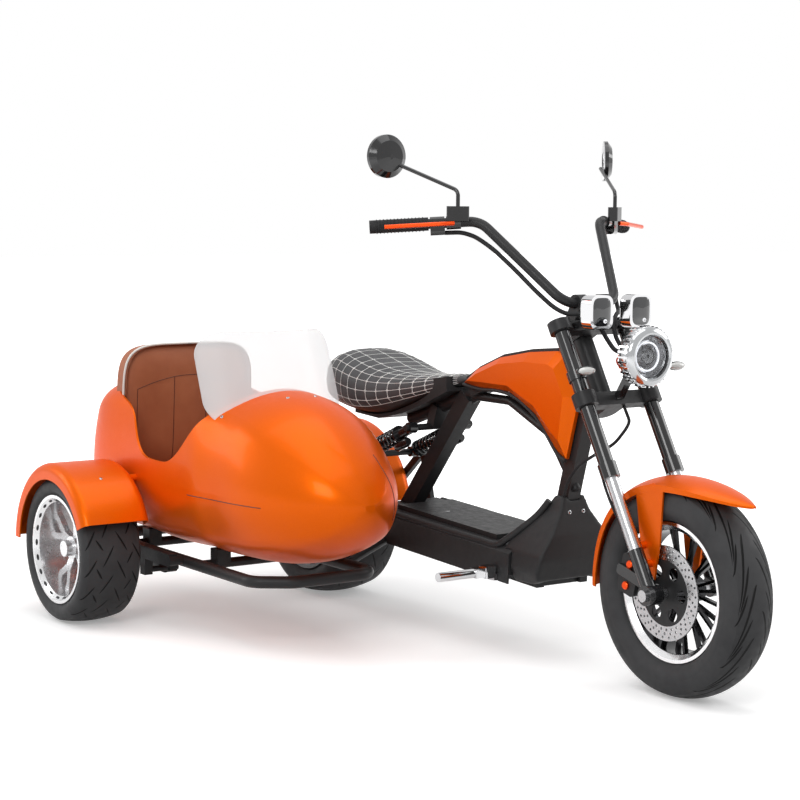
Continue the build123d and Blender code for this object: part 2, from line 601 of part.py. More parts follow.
# Footboard box with its battery and hinged lid
TRAY_FLOOR = RAIL_TOP + 0.3
box_outer = deck_block((0, -DECK_HALF, 0), (DECK_LENGTH, DECK_HALF, DECK_HEIGHT))
well_low = TRAY_FLOOR + DECK_WALL
for side in (-1, 1):
    bevel = [(side * (DECK_HALF - 22), DECK_HEIGHT + 1), (side * (DECK_HALF + 1), DECK_HEIGHT + 1),
             (side * (DECK_HALF + 1), DECK_HEIGHT - 16)]
    bevel_plane = deck * Plane(origin=(-5, 0, 0), x_dir=(0, 1, 0), z_dir=(1, 0, 0))
    box_outer -= extrude(bevel_plane * make_face(Polyline(*bevel, close=True)), amount=DECK_LENGTH + 10)
hollow_half = DECK_HALF - DECK_WALL
underside = deck_block((-5, -hollow_half, -5), (DECK_LENGTH + 5, hollow_half, TRAY_FLOOR))
deck_box = box_outer - underside
well_rear = LID_REAR + 12
well_front = LID_REAR + LID_LENGTH - 12
well_half = LID_HALF - 12
deck_box -= deck_block((well_rear, -well_half, well_low), (well_front, well_half, DECK_HEIGHT + 5))
deck_box -= beam(STRUT_TOP, STRUT_FOOT, 41, 47)
fixed_panel = deck_block((PANEL_REAR, -LID_HALF, DECK_HEIGHT - 1),
                         (LID_REAR - LID_GAP, LID_HALF, DECK_HEIGHT + LID_RISE))
deck_box += fixed_panel
deck_box -= beam(STRUT_TOP, STRUT_FOOT, 41, 47)
battery = deck_block((well_rear + 8, -well_half + 8, well_low + 0.3),
                     (well_front - 8, well_half - 8, DECK_HEIGHT - 6))
put("root", "battery", battery)
lid = deck_block((LID_REAR, -LID_HALF, DECK_HEIGHT + LID_GAP),
                 (LID_REAR + LID_LENGTH, LID_HALF, DECK_HEIGHT + LID_RISE))


def along_deck(x_from, x_to, y, z, radius):
    """Cylinder along the deck's length."""
    start = deck.from_local_coords(Vector(x_from, y, z))
    end = deck.from_local_coords(Vector(x_to, y, z))
    return rod(start, end, radius)


# The lid turns on a pin along its left edge
lid_middle = LID_REAR + LID_LENGTH / 2
knuckle_ends = [lid_middle - 120, lid_middle - 40, lid_middle + 40, lid_middle + 120]
knuckle_start = knuckle_ends[1] + RUN_GAP
knuckle_end = knuckle_ends[2] - RUN_GAP
lid += along_deck(knuckle_start, knuckle_end, LID_PIN_Y, LID_PIN_Z, KNUCKLE_RADIUS - 0.8)
lid += deck_block((knuckle_start, LID_HALF - 2, LID_PIN_Z - 1.5), (knuckle_end, LID_PIN_Y, LID_PIN_Z + 1.5))
lid -= along_deck(knuckle_ends[0], knuckle_ends[3], LID_PIN_Y, LID_PIN_Z, LID_PIN_RADIUS + SHAFT_FIT)
deck_box += along_deck(knuckle_ends[0], knuckle_ends[1], LID_PIN_Y, LID_PIN_Z, KNUCKLE_RADIUS)
deck_box += along_deck(knuckle_ends[2], knuckle_ends[3], LID_PIN_Y, LID_PIN_Z, KNUCKLE_RADIUS)
deck_box += along_deck(knuckle_ends[0], knuckle_ends[3], LID_PIN_Y, LID_PIN_Z, LID_PIN_RADIUS)
for start, end in ((knuckle_ends[0], knuckle_ends[1]), (knuckle_ends[2], knuckle_ends[3])):
    lid -= deck_block((start - RUN_GAP, LID_HALF - 2, DECK_HEIGHT),
                      (end + RUN_GAP, LID_HALF + 5, DECK_HEIGHT + 20))
put("battery_lid", "battery_lid", lid)

# Cover over the foot of the down tube
cover_side = [
    (990, 212), (986, 262), (1004, 312), (1058, 372), (1090, 424), (1125, 424), (1132, 396), (1150, 330),
    (1147, 272), (1126, 216), (1096, 205), (1008, 205),
]
cover_front = [
    (-34, 426), (34, 426), (48, 388), (92, 326), (121, 282), (124, 240), (106, 203),
    (-106, 203), (-124, 240), (-121, 282), (-92, 326), (-48, 388),
]
cover_outline = make_face(Polyline(*moved(cover_side), close=True))
cover = extrude(Plane.XZ.offset(-130) * cover_outline, amount=260)
front_view = Plane(origin=(DECK_FRONT - 125, 0, 0), x_dir=(0, 1, 0), z_dir=(1, 0, 0))
cover &= extrude(front_view * make_face(Polyline(*cover_front, close=True)), amount=300)
cover -= box_outer
cover -= beam(down_top, DOWN_KNEE, 41, 41)
cover -= Pos(*DOWN_KNEE) * Rot(90, 0, 0) * Cylinder(20.5, 41)
cover -= beam(DOWN_KNEE, DOWN_FOOT, 41, 41)
for side in (-1, 1):
    rail_y = side * RAIL_HALF
    cover -= deck_block((DECK_LENGTH - 140, rail_y - RAIL_SIZE / 2 - 0.3, -5),
                        (DECK_LENGTH + 120, rail_y + RAIL_SIZE / 2 + 0.3, RAIL_TOP + 0.3))
cover -= deck_block((DECK_LENGTH - 40, -RAIL_HALF, -5), (DECK_LENGTH + 120, RAIL_HALF, RAIL_TOP + 0.3))
cover = cover.solids().sort_by(SortBy.VOLUME)[-1]
put("root", "front_cover", cover)

# Saddle and its pan
saddle_table = [
    # x, half width, low z, high z, corner
    (128, 60, 604, 690, 40),
    (215, 138, 566, 736, 60),
    (340, 152, 560, 712, 55),
    (460, 122, 588, 692, 42),
    (570, 74, 628, 694, 30),
    (688, 34, 668, 698, 13),
]
saddle_faces = []
for x, half, low, high, corner in saddle_table:
    section = Plane(origin=(x, 0, (low + high) / 2), x_dir=(0, 1, 0), z_dir=(1, 0, 0))
    saddle_faces.append(section * RectangleRounded(half * 2, high - low, corner))
saddle = loft(Sketch() + saddle_faces)
put("root", "saddle", saddle)

pan_profile = [(222, 554), (340, 548), (460, 574), (570, 612), (660, 650), (660, 690), (222, 620)]
saddle_pan = extrude(Plane.XZ.offset(-60) * make_face(Polyline(*pan_profile, close=True)), amount=120)
saddle_pan -= saddle
saddle_pan = saddle_pan.solids().sort_by(Axis.Z)[0]

# Orange side panels beside the spine
panel_profile = [
    (704, 676), (760, 716), (860, 754), (980, 776), (1090, 786), (1118, 776), (1176, 676), (1132, 520),
    (1090, 540), (1010, 618), (900, 668), (780, 668),
]
panel_crest = [
    (738, 685), (776, 705), (866, 738), (978, 752), (1076, 752), (1098, 742), (1136, 676), (1120, 566),
    (1092, 584), (1020, 644), (910, 686), (804, 686),
]
panel_faces = []
for depth, outline in ((24, panel_profile), (34, panel_profile), (52, panel_crest)):
    side_plane = Plane(origin=(0, -depth, 0), x_dir=(1, 0, 0), z_dir=(0, -1, 0))
    panel_faces.append(side_plane * make_face(Polyline(*spread(outline), close=True)))
panel = loft(Sketch() + panel_faces, ruled=True)
put("root", "side_panels", Compound(both(panel)))

# Dark cover along the top of the spine, between the panels
cover_top = [
    (700, 690), (762, 724), (862, 762), (982, 784), (1092, 794), (1118, 786), (1098, 740), (860, 690),
    (720, 640),
]
spine_top = make_face(Polyline(*spread(cover_top), close=True))
spine_cover = extrude(Plane.XZ.offset(-23.7) * spine_top, amount=47.4)
spine_cover -= frame
spine_cover = spine_cover.solids().sort_by(Axis.Z)[-1]
put("root", "spine_cover", spine_cover)

# Rear mudguard
rear_fender = fender_arc(rear_axle_at, REAR_FENDER_RADIUS, REAR_FENDER_HALF, FENDER_WALL, 46, 12, 168)
for side in (-1, 1):
    rear_fender += rod((204, side * (REAR_FENDER_HALF - 2), 362), (204, side * (ARM_HALF - 7), 362), 8)
    stay_y = side * (REAR_FENDER_HALF + 1)
    rear_fender += beam((-20, stay_y, 248), (-185, stay_y, 385), 2, 22)
put("root", "rear_fender", rear_fender)
TAIL_ANGLE = 150.0
tail_turn = math.radians(TAIL_ANGLE)
tail_at = rear_axle_at + Vector(math.cos(tail_turn), 0, math.sin(tail_turn)) * REAR_FENDER_RADIUS
tail_light = Pos(tail_at.X, 0, tail_at.Z + 4) * Box(52, 96, 34)
tail_light = fillet(tail_light.edges().filter_by(Axis.X), 14)
tail_light -= Pos(*rear_axle_at) * disc_y(REAR_FENDER_RADIUS, -200, 200)
put("root", "tail_light", tail_light)

# Swing arm, axle and shocks
ARM_PIVOT_X = 352.0
ARM_PIVOT_Z = 262.0
swing_arm = rod((ARM_PIVOT_X, -ARM_HALF - 9, ARM_PIVOT_Z), (ARM_PIVOT_X, ARM_HALF + 9, ARM_PIVOT_Z), 16)
for side in (-1, 1):
    y = side * ARM_HALF
    swing_arm += beam((ARM_PIVOT_X, y, ARM_PIVOT_Z), (-30, y, REAR_RADIUS), 16, 40)
    swing_arm += beam((SHOCK_LOW_X, y, SHOCK_LOW_Z), (60, y, REAR_RADIUS), 14, 22)
    swing_arm += beam((SHOCK_LOW_X, y, SHOCK_LOW_Z), (ARM_PIVOT_X - 10, y, ARM_PIVOT_Z), 14, 22)
swing_arm += rod((SHOCK_LOW_X, -ARM_HALF, SHOCK_LOW_Z), (SHOCK_LOW_X, ARM_HALF, SHOCK_LOW_Z), 9)
swing_arm -= rod((0, -200, REAR_RADIUS), (0, 200, REAR_RADIUS), AXLE_RADIUS)
put("root", "swing_arm", swing_arm)
rear_axle = rod((0, -ARM_HALF - 20, REAR_RADIUS), (0, ARM_HALF + 20, REAR_RADIUS), AXLE_RADIUS)
for side in (-1, 1):
    rear_axle += rod((0, side * (ARM_HALF + 8), REAR_RADIUS), (0, side * (ARM_HALF + 20), REAR_RADIUS), 14)
put("root", "rear_axle", rear_axle)
shock_run = (Vector(SHOCK_TOP_X, 0, SHOCK_TOP_Z) - Vector(SHOCK_LOW_X, 0, SHOCK_LOW_Z)).normalized()
shocks = []
for side in (-1, 1):
    top = Vector(SHOCK_TOP_X, side * SHOCK_HALF, SHOCK_TOP_Z)
    low = Vector(SHOCK_LOW_X, side * SHOCK_HALF, SHOCK_LOW_Z)
    shock = rod(low, top, 9)
    shock += rod(low + shock_run * 30, top - shock_run * 60, 24)
    shock += rod(top - shock_run * 70, top - shock_run * 16, 20)
    for spot in (low, top):
        shock += rod(spot - Vector(0, 12, 0), spot + Vector(0, 12, 0), 15)
        shock -= rod(spot - Vector(0, 30, 0), spot + Vector(0, 30, 0), 9)
    shocks.append(shock)
put("root", "rear_shocks", Compound(shocks))
shock_pin = SHOCK_HALF + 20
frame += rod((SHOCK_TOP_X, -shock_pin, SHOCK_TOP_Z), (SHOCK_TOP_X, shock_pin, SHOCK_TOP_Z), 9)
frame += beam((SHOCK_TOP_X, 0, SHOCK_TOP_Z), (SHOCK_TOP_X + 20, 0, SHOCK_TOP_Z + 60), 60, 30)
for side in (-1, 1):
    frame += beam((ARM_PIVOT_X, side * 85, ARM_PIVOT_Z), (ARM_PIVOT_X - 4, side * 85, DECK_BOTTOM), 14, 36)
frame -= rod((ARM_PIVOT_X, -200, ARM_PIVOT_Z), (ARM_PIVOT_X, 200, ARM_PIVOT_Z), 16)
frame -= rod(on_fork(0, 0, head_low - 1), on_fork(0, 0, head_high + 1), STEM_RADIUS + SHAFT_FIT)
put("root", "main_frame", frame)
saddle_pan -= frame
saddle_pan = saddle_pan.solids().sort_by(SortBy.VOLUME)[-1]
put("root", "saddle_pan", saddle_pan)

# Foot pegs on the front of the deck rails
PEG_X = DECK_FRONT - 58.0
PEG_Z = 222.0
PEG_OUT = 303.0
PEG_ROOT = 134.0
PEG_RADIUS = 12.0
peg = rod((PEG_X, -PEG_ROOT - 58, PEG_Z), (PEG_X, -PEG_OUT, PEG_Z), PEG_RADIUS)
peg += block((PEG_X - 14, -PEG_ROOT - 60, PEG_Z - 12), (PEG_X + 14, -PEG_ROOT - 20, PEG_Z + 12))
peg_lug = block((PEG_X - 16, -PEG_ROOT - 30, PEG_Z - 15), (PEG_X + 16, -PEG_ROOT, PEG_Z + 15))
rail_side = -RAIL_HALF - RAIL_SIZE / 2
peg_lug += block((PEG_X - 16, -PEG_ROOT - 5, PEG_Z - 22), (PEG_X + 16, rail_side, PEG_Z - 6))
put("root", "foot_pegs", Compound(both(peg + peg_lug)))
for side in (-1, 1):
    edge = sorted((side * (PEG_ROOT + 5), side * RAIL_HALF))
    deck_box -= block((PEG_X - 17, edge[0], PEG_Z - 40), (PEG_X + 17, edge[1], PEG_Z - 5))

# Tub: an egg-shaped shell with an open cockpit
TUB_BELT = 400.0            # widest level
TUB_NOSE = 884.0
TUB_TAIL = -345.0
middle_rows = [
    # x, half width, low z, high z, lower and upper corner as shares
    (-120, 238, 212, 660, 0.50, 0.34),
    (50, 240, 207, 668, 0.50, 0.34),
    (250, 240, 206, 668, 0.50, 0.36),
    (400, 236, 206, 664, 0.50, 0.42),
    (480, 228, 207, 657, 0.50, 0.48),
]


def end_rows(row, tip, shares, fullness):
    """Sections that shrink from a row to a rounded tip."""
    x, half, low, high, r_low, r_high = row
    rows = []
    for share in shares:
        left = math.sqrt(1 - share ** 2)
        rows.append((x + (tip - x) * share, half * left, TUB_BELT - (TUB_BELT - low) * left,
                     TUB_BELT + (high - TUB_BELT) * left ** fullness, r_low, r_high + 0.1 * share))
    return rows


tail_rows = end_rows(middle_rows[0], TUB_TAIL, (0.45, 0.75, 0.93, 0.99), 0.8)
nose_rows = end_rows(middle_rows[-1], TUB_NOSE, (0.3, 0.55, 0.75, 0.9, 0.975, 0.998), 1.5)
tub_table = tail_rows[::-1] + middle_rows + nose_rows


def quarter(w, h, share):
    """Points of a quarter oval, w wide and h high: a flat arc, a corner and another flat arc."""
    r = share * min(w, h)
    d = 1.3 * r
    e = 1.18 * r
    cx = w - e
    cz = h - d
    top_r = (cx ** 2 + d ** 2 - r ** 2) / (2 * (d - r))
    side_r = (cz ** 2 + e ** 2 - r ** 2) / (2 * (e - r))
    u = Vector(cx, cz - h + top_r, 0).normalized()
    v = Vector(cx - w + side_r, cz, 0).normalized()
    corner = Vector(cx, cz, 0) + (u + v).normalized() * r
    top = Vector(0, h - top_r, 0) + u * top_r
    side = Vector(w - side_r, 0, 0) + v * side_r
    bulge = Vector(w - side_r, 0, 0) + (v + Vector(1, 0, 0)).normalized() * side_r
    return top, corner, side, bulge


def tub_face(x, half, low, high, r_low, r_high, inset):
    """Upright oval section of the tub; inset shrinks it for the hollow."""
    w = half - inset
    up = high - TUB_BELT - inset
    down = TUB_BELT - low - inset
    top, corner, side, bulge = quarter(w, up, r_high)
    base, heel, flank, belly = quarter(w, down, r_low)
    edges = [ThreePointArc((-top.X, top.Y), (0, up), (top.X, top.Y))]
    edges.append(ThreePointArc((-base.X, -base.Y), (0, -down), (base.X, -base.Y)))
    for hand in (-1, 1):
        edges.append(ThreePointArc((hand * top.X, top.Y), (hand * corner.X, corner.Y),
                                   (hand * side.X, side.Y)))
        edges.append(ThreePointArc((hand * side.X, side.Y), (hand * bulge.X, bulge.Y), (hand * w, 0)))
        edges.append(ThreePointArc((hand * w, 0), (hand * belly.X, -belly.Y),
                                   (hand * flank.X, -flank.Y)))
        edges.append(ThreePointArc((hand * flank.X, -flank.Y), (hand * heel.X, -heel.Y),
                                   (hand * base.X, -base.Y)))
    section = Plane(origin=(x, TUB_Y, TUB_BELT), x_dir=(0, 1, 0), z_dir=(1, 0, 0))
    return section * make_face(edges)


outer = loft(Sketch() + [tub_face(*row, 0) for row in tub_table])
inner_rows = tub_table[1:-1]
inner = loft(Sketch() + [tub_face(*row, TUB_WALL) for row in inner_rows])
tub = outer - inner
# Cockpit opening from above, with the side dip for getting in
rim_table = [
    (-112, 634), (-40, 606), (46, 572), (86, 506), (128, 466), (200, 456), (268, 461), (328, 503),
    (380, 562), (430, 612), (464, 672),
]
rim_start = rim_table[0]
rim_end = rim_table[-1]
above = 800
opening = [Spline(*rim_table), Line(rim_end, (rim_end[0], above)),
           Line((rim_end[0], above), (rim_start[0], above)), Line((rim_start[0], above), rim_start)]
side_view = Plane(origin=(0, TUB_Y + 300, 0), x_dir=(1, 0, 0), z_dir=(0, -1, 0))
tub -= extrude(side_view * make_face(opening), amount=600)
tub -= block((-168, TUB_Y - 178, 560), (0, TUB_Y + 178, 800))
put("root", "sidecar_tub", tub)

# Sidecar chassis: a tube loop under the tub, cross tubes and struts to the scooter
SIDE_SHOCK_Y = TUB_Y - 140.0
RAIL_NEAR = TUB_Y - 175.0
RAIL_FAR = TUB_Y + 165.0
RAIL_FRONT = 665.0
RAIL_REAR = -250.0
loop_points = [
    (200, RAIL_NEAR, RAIL_Z), (RAIL_FRONT - 60, RAIL_NEAR, RAIL_Z), (RAIL_FRONT, RAIL_NEAR + 90, RAIL_Z),
    (RAIL_FRONT, RAIL_FAR, RAIL_Z), (RAIL_REAR, RAIL_FAR, RAIL_Z), (RAIL_REAR, RAIL_NEAR, RAIL_Z),
    (201, RAIL_NEAR, RAIL_Z),
]
chassis = tube(loop_points, RAIL_RADIUS, 55)
chassis += rod((199, RAIL_NEAR, RAIL_Z), (203, RAIL_NEAR, RAIL_Z), RAIL_RADIUS)
strut_table = [
    # cross tubes of the loop, then the two struts to the scooter's deck rails
    ((330, RAIL_FAR, RAIL_Z), (330, RAIL_NEAR, RAIL_Z)),
    ((-60, RAIL_FAR, RAIL_Z), (-60, RAIL_NEAR, RAIL_Z)),
]
for start, end in strut_table:
    chassis += rod(start, end, 13)
LUG_FACE = rail_side
lug_table = [
    # x on the sidecar rail, x on the scooter's rail
    (330, 402),
    (520, 456),
]
for rail_x, frame_x in lug_table:
    lug = deck_block((frame_x - DECK_REAR - 20, LUG_FACE - 14, RAIL_TOP - RAIL_SIZE),
                     (frame_x - DECK_REAR + 20, LUG_FACE, RAIL_TOP))
    lug_z = deck.from_local_coords(Vector(frame_x - DECK_REAR, 0, RAIL_TOP - RAIL_SIZE / 2)).Z
    strut = rod((rail_x, RAIL_FAR, RAIL_Z), (frame_x, LUG_FACE - 12, lug_z), 11)
    chassis += lug + strut
    deck_box -= rod((rail_x, RAIL_FAR, RAIL_Z), (frame_x, LUG_FACE - 6, lug_z), 15)
for side in (-1, 1):
    ear_y = SIDE_SHOCK_Y + side * 17
    chassis += block((-76, ear_y - 4, 134), (-44, ear_y + 4, RAIL_Z))
chassis += rod((-60, SIDE_SHOCK_Y - 21, 146), (-60, SIDE_SHOCK_Y + 21, 146), 8)
for x in (-60, 330):
    for side in (-1, 1):
        pad_y = TUB_Y + side * 110
        chassis += block((x - 20, pad_y - 20, RAIL_Z), (x + 20, pad_y + 20, 225)) - outer
put("root", "sidecar_chassis", chassis)
put("root", "deck_box", deck_box)

# Sidecar wheel's trailing arm with its stub axle
ARM_Y = TUB_Y - 218.0
ARM_PIN_X = 262.0
ARM_PIN_Z = 190.0
side_arm = beam((ARM_PIN_X, ARM_Y, ARM_PIN_Z), (SIDE_LEAD - 22, ARM_Y, SIDE_RADIUS - 6), 24, 34)
side_arm += rod((ARM_PIN_X, ARM_Y - 14, ARM_PIN_Z), (ARM_PIN_X, RAIL_NEAR - RAIL_RADIUS, ARM_PIN_Z), 13)
stub_root = (SIDE_LEAD, ARM_Y, SIDE_RADIUS)
side_arm += rod(stub_root, (SIDE_LEAD, -SIDE_TRACK + SIDE_HUB_IN + RUN_GAP, SIDE_RADIUS), 20)
side_arm += rod(stub_root, (SIDE_LEAD, -SIDE_TRACK - 25, SIDE_RADIUS), AXLE_RADIUS)
SIDE_SHOCK_X = 110.0
SIDE_SHOCK_Z = 142.0
SIDE_SHOCK_REAR = -60.0
side_arm += block((SIDE_SHOCK_X - 14, ARM_Y - 12, SIDE_SHOCK_Z - 12),
                  (SIDE_SHOCK_X + 14, ARM_Y + 12, SIDE_RADIUS))
side_arm += rod((SIDE_SHOCK_X, ARM_Y, SIDE_SHOCK_Z), (SIDE_SHOCK_X, SIDE_SHOCK_Y + 18, SIDE_SHOCK_Z), 8)
put("root", "sidecar_arm", side_arm)
shock_front = Vector(SIDE_SHOCK_X, SIDE_SHOCK_Y, SIDE_SHOCK_Z)
shock_rear = Vector(SIDE_SHOCK_REAR, SIDE_SHOCK_Y, SIDE_SHOCK_Z + 4)
side_run = (shock_front - shock_rear).normalized()
side_shock = rod(shock_rear, shock_front, 8)
side_shock += rod(shock_rear + side_run * 30, shock_front - side_run * 34, 22)
for spot in (shock_rear, shock_front):
    side_shock += rod(spot - Vector(0, 12, 0), spot + Vector(0, 12, 0), 13)
    side_shock -= rod(spot - Vector(0, 30, 0), spot + Vector(0, 30, 0), 8)
put("root", "sidecar_shock", side_shock)

# Sidecar seat: base and back cushions
SEAT_HALF = 205.0
seat_base = block((-120, TUB_Y - SEAT_HALF, 225), (300, TUB_Y + SEAT_HALF, 380))
seat_base = fillet(seat_base.edges().filter_by(Axis.Z), 40)
seat_base &= loft(Sketch() + [tub_face(*row, TUB_WALL + 0.3) for row in inner_rows])
seat_back = extrude(Plane(origin=(-135, TUB_Y, 385), x_dir=(0, 1, 0), z_dir=(1, 0, -0.06))
                    * Pos(0, 180) * RectangleRounded(SEAT_HALF * 2, 370, 70), amount=90)
seat_back &= block((-400, -900, 384), (400, 0, 900))
seat_back -= tub
seat_back = seat_back.solids().sort_by(SortBy.VOLUME)[-1]
put("root", "sidecar_seat_base", seat_base)
put("root", "sidecar_seat_back", seat_back)

# Windscreen: a curved clear sheet standing on the cowl
SCREEN_THICK = 4.0
screen_arc = [
    ThreePointArc((-215, 0), (0, -90), (215, 0)),
    Line((215, 0), (215, SCREEN_THICK)),
    ThreePointArc((215, SCREEN_THICK), (0, SCREEN_THICK - 90), (-215, SCREEN_THICK)),
    Line((-215, SCREEN_THICK), (-215, 0)),
]
screen_plane = Plane(origin=(430, TUB_Y, 560), x_dir=(0, 1, 0), z_dir=(-0.36, 0, 0.93))
screen = extrude(screen_plane * make_face(screen_arc), amount=280)
front_plane = Plane(origin=(300, TUB_Y, 685), x_dir=(0, 1, 0), z_dir=(1, 0, 0))
screen &= extrude(front_plane * RectangleRounded(416, 250, 70), amount=400)
screen -= outer
screen = screen.solids().sort_by(SortBy.VOLUME)[-1]
put("root", "windscreen", screen)

# Sidecar mudguard
SIDE_FENDER_RADIUS = 236.0
side_fender = fender_arc(side_axle_at, SIDE_FENDER_RADIUS, 100, FENDER_WALL, 40, 24, 178)
for x in (-90, 90):
    stay_z = SIDE_RADIUS + math.sqrt((SIDE_FENDER_RADIUS - 22) ** 2 - x ** 2)
    stay = rod((SIDE_LEAD + x, -SIDE_TRACK + 98, stay_z), (SIDE_LEAD + x, -SIDE_TRACK + 135, stay_z), 10)
    side_fender += stay - outer
put("root", "sidecar_fender", side_fender)


def hose(points, radius):
    """Hose along hand-chosen points, each bend as large as its two runs allow."""
    points = [Vector(point) for point in points]
    radii = []
    for before, corner, after in zip(points, points[1:], points[2:]):
        turn = math.radians((corner - before).get_angle(after - corner))
        shorter = min((corner - before).length, (after - corner).length)
        radii.append(0.45 * shorter / math.tan(turn / 2))
    path = FilletPolyline(*points, radius=radii)
    start = Plane(origin=path @ 0, z_dir=path % 0)
    return sweep(start * Circle(radius), path=path)


# Loom from the front cover up to the lower clamp
loom_points = moved([
    (1121, -30, 425.8), (1140, -32, 468), (1178, -31, 510), (1232, -22, 543), (1282, -6, 572),
    (1306, 10, 612),
]) + [on_fork(44, 20, -42), on_fork(40, 22, -RUN_GAP)]
put("root", "steering_loom", hose(loom_points, 4))

# Front brake hose down the right leg, and the two braided looms along the handlebar
hose_end = caliper_plane.from_local_coords(Vector(104, -48.3, 8))
brake_points = [
    on_fork(18, -half_legs + 34, -RUN_GAP * 0.6), on_fork(14, -half_legs + 30, -50),
    on_fork(8, -half_legs + 20, -110), on_fork(6, -half_legs + 12, -170), on_fork(4, -half_legs + 14, -230),
    on_fork(5, -half_legs + 22, -285),
    hose_end - caliper_plane.y_dir * 26, hose_end,
]
below_switch = control_at - grip_run * 18.3 + control_plane.y_dir * 24
below_master = control_at - grip_run * 60 + control_plane.y_dir * 25
bar_loom_points = [
    (below_switch.X, -below_switch.Y, below_switch.Z),
    (below_master.X, -below_master.Y, below_master.Z),
] + moved([
    (970, -204, 1068), (992, -194, 1055), (1018, -180, 1036),
    (1067, -151, 988), (1117, -124, 936), (1156, -102, 900), (1184, -84, 884), (1208, -58, 886),
    (1226, -34, 874), (1240, -20, 850), (1256, -15, 826), (1286, -14, 798), (1323.7, -14, 798),
])
hoses = [hose(brake_points, 3.5)] + both(hose(bar_loom_points, 5.5))
put("steering", "hoses", Compound(hoses))

# Shift to the final origin, write the pieces
everything = Compound(list(nodes.values()))
box = everything.bounding_box()
shift = Vector(-(box.min.X + box.max.X) / 2, -(box.min.Y + box.max.Y) / 2, -box.min.Z)
for name, shape in nodes.items():
    nodes[name] = Pos(*shift) * shape
    export_step(nodes[name], "parts/" + name + ".step")
print("size", [round(v) for v in (box.size.X, box.size.Y, box.size.Z)], "shift", shift)
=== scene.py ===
# %% [markdown]
# # Electric scooter with a sidecar
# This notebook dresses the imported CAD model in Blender: paint, rubber, chrome, leather and the small
# parts that are easier to draw as meshes. Everything is in metres, with +X forwards, +Y to the rider's
# left and +Z up.

import math

import bmesh
import bpy
from mathutils import Matrix, Vector


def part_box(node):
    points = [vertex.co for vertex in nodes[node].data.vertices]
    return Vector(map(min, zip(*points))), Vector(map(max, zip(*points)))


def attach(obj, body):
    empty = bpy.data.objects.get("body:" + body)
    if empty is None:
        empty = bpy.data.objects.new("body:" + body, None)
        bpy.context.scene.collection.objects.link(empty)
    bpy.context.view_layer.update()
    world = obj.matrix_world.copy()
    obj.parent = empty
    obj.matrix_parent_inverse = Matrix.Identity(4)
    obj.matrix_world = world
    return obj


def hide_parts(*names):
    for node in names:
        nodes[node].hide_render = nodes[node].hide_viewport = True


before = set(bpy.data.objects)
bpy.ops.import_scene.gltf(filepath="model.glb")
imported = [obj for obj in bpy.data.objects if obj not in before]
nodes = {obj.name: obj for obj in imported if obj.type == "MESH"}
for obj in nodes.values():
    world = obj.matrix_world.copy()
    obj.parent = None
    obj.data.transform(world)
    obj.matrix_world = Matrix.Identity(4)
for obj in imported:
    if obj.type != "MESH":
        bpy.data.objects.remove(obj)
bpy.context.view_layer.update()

# %% [markdown]
# ## Camera
# The camera stands ahead of the scooter and to its right, a little above the handlebar's height. Its
# heading, height and lens were solved from wheel rims and other parts of known size, so a piece drawn at
# its real place lands on the same spot of the picture. A plain perspective camera with no shift is enough.

# %% Camera
CAMERA_AT = Vector((4.2354, -2.949, 1.162))
CAMERA_HEADING = math.radians(55.24)
CAMERA_RISE = math.radians(5.76)
CAMERA_ROLL = math.radians(0.53)
LENS_MM = 90.26


def linked(name, data):
    """A new object in the scene around a mesh, a camera or a lamp."""
    obj = bpy.data.objects.new(name, data)
    bpy.context.scene.collection.objects.link(obj)
    return obj


back = Vector((math.sin(CAMERA_HEADING) * math.cos(CAMERA_RISE),
               -math.cos(CAMERA_HEADING) * math.cos(CAMERA_RISE), math.sin(CAMERA_RISE)))
level = Vector((0, 0, 1)).cross(back).normalized()
upright = back.cross(level)
right = level * math.cos(CAMERA_ROLL) + upright * math.sin(CAMERA_ROLL)
up = upright * math.cos(CAMERA_ROLL) - level * math.sin(CAMERA_ROLL)
camera = linked("camera", bpy.data.cameras.new("camera"))
camera.data.lens = LENS_MM
camera.data.sensor_width = 36.0
camera.matrix_world = Matrix.Translation(CAMERA_AT) @ Matrix((right, up, back)).transposed().to_4x4()
bpy.context.scene.camera = camera
bpy.context.scene.view_settings.view_transform = "Standard"
print("camera", [round(v, 2) for v in CAMERA_AT])

# %% [markdown]
# ## Studio
# The vehicle stands in a white studio. Soft boxes are area lamps, and a grey world, darker near the
# horizon, fills the shadows. The floor keeps the soft shadow under the tyres and fades to the same white as
# the background: it glows a little more the further it is from the middle, but only for rays that come from
# the camera or pass through glass or a mirror, so it adds no light to the object. The floor is also darker
# for the light that bounces off it, so the undersides stay deep.

# %% Studio
WHITE_FROM, WHITE_AT = 1.3, 3.4         # the floor's fade, in metres from its middle
FLOOR_GLOW = 0.30
FLOOR_SEEN, FLOOR_BOUNCE = 0.90, 0.42
SKY_LOW, SKY_HIGH = 0.12, 0.75
WHITE = (1, 1, 1, 1)


def fill_slot(tree, slot, value):
    """Link a socket to an input slot, or write a plain value in it."""
    if isinstance(value, bpy.types.NodeSocket):
        tree.links.new(value, slot)
    else:
        slot.default_value = value


def step(tree, kind, traits=None, **values):
    """One node with its traits set, and its named inputs set or linked."""
    node = tree.nodes.new(kind)
    for label, value in (traits or {}).items():
        setattr(node, label, value)
    for label, value in values.items():
        fill_slot(tree, node.inputs[label.replace("_", " ")], value)
    return node


def calculator(tree):
    """A function that adds Math nodes to one tree; its values are sockets or plain numbers."""
    def calc(operation, *values):
        node = step(tree, "ShaderNodeMath", {"operation": operation})
        for slot, value in zip(node.inputs, values):
            fill_slot(tree, slot, value)
        return node.outputs[0]
    return calc


def ramp(tree, value, start, end, low, high, kind="LINEAR"):
    """A value that goes from start to end, turned into one that goes from low to high."""
    return step(tree, "ShaderNodeMapRange", {"interpolation_type": kind}, Value=value, From_Min=start,
                From_Max=end, To_Min=low, To_Max=high).outputs[0]


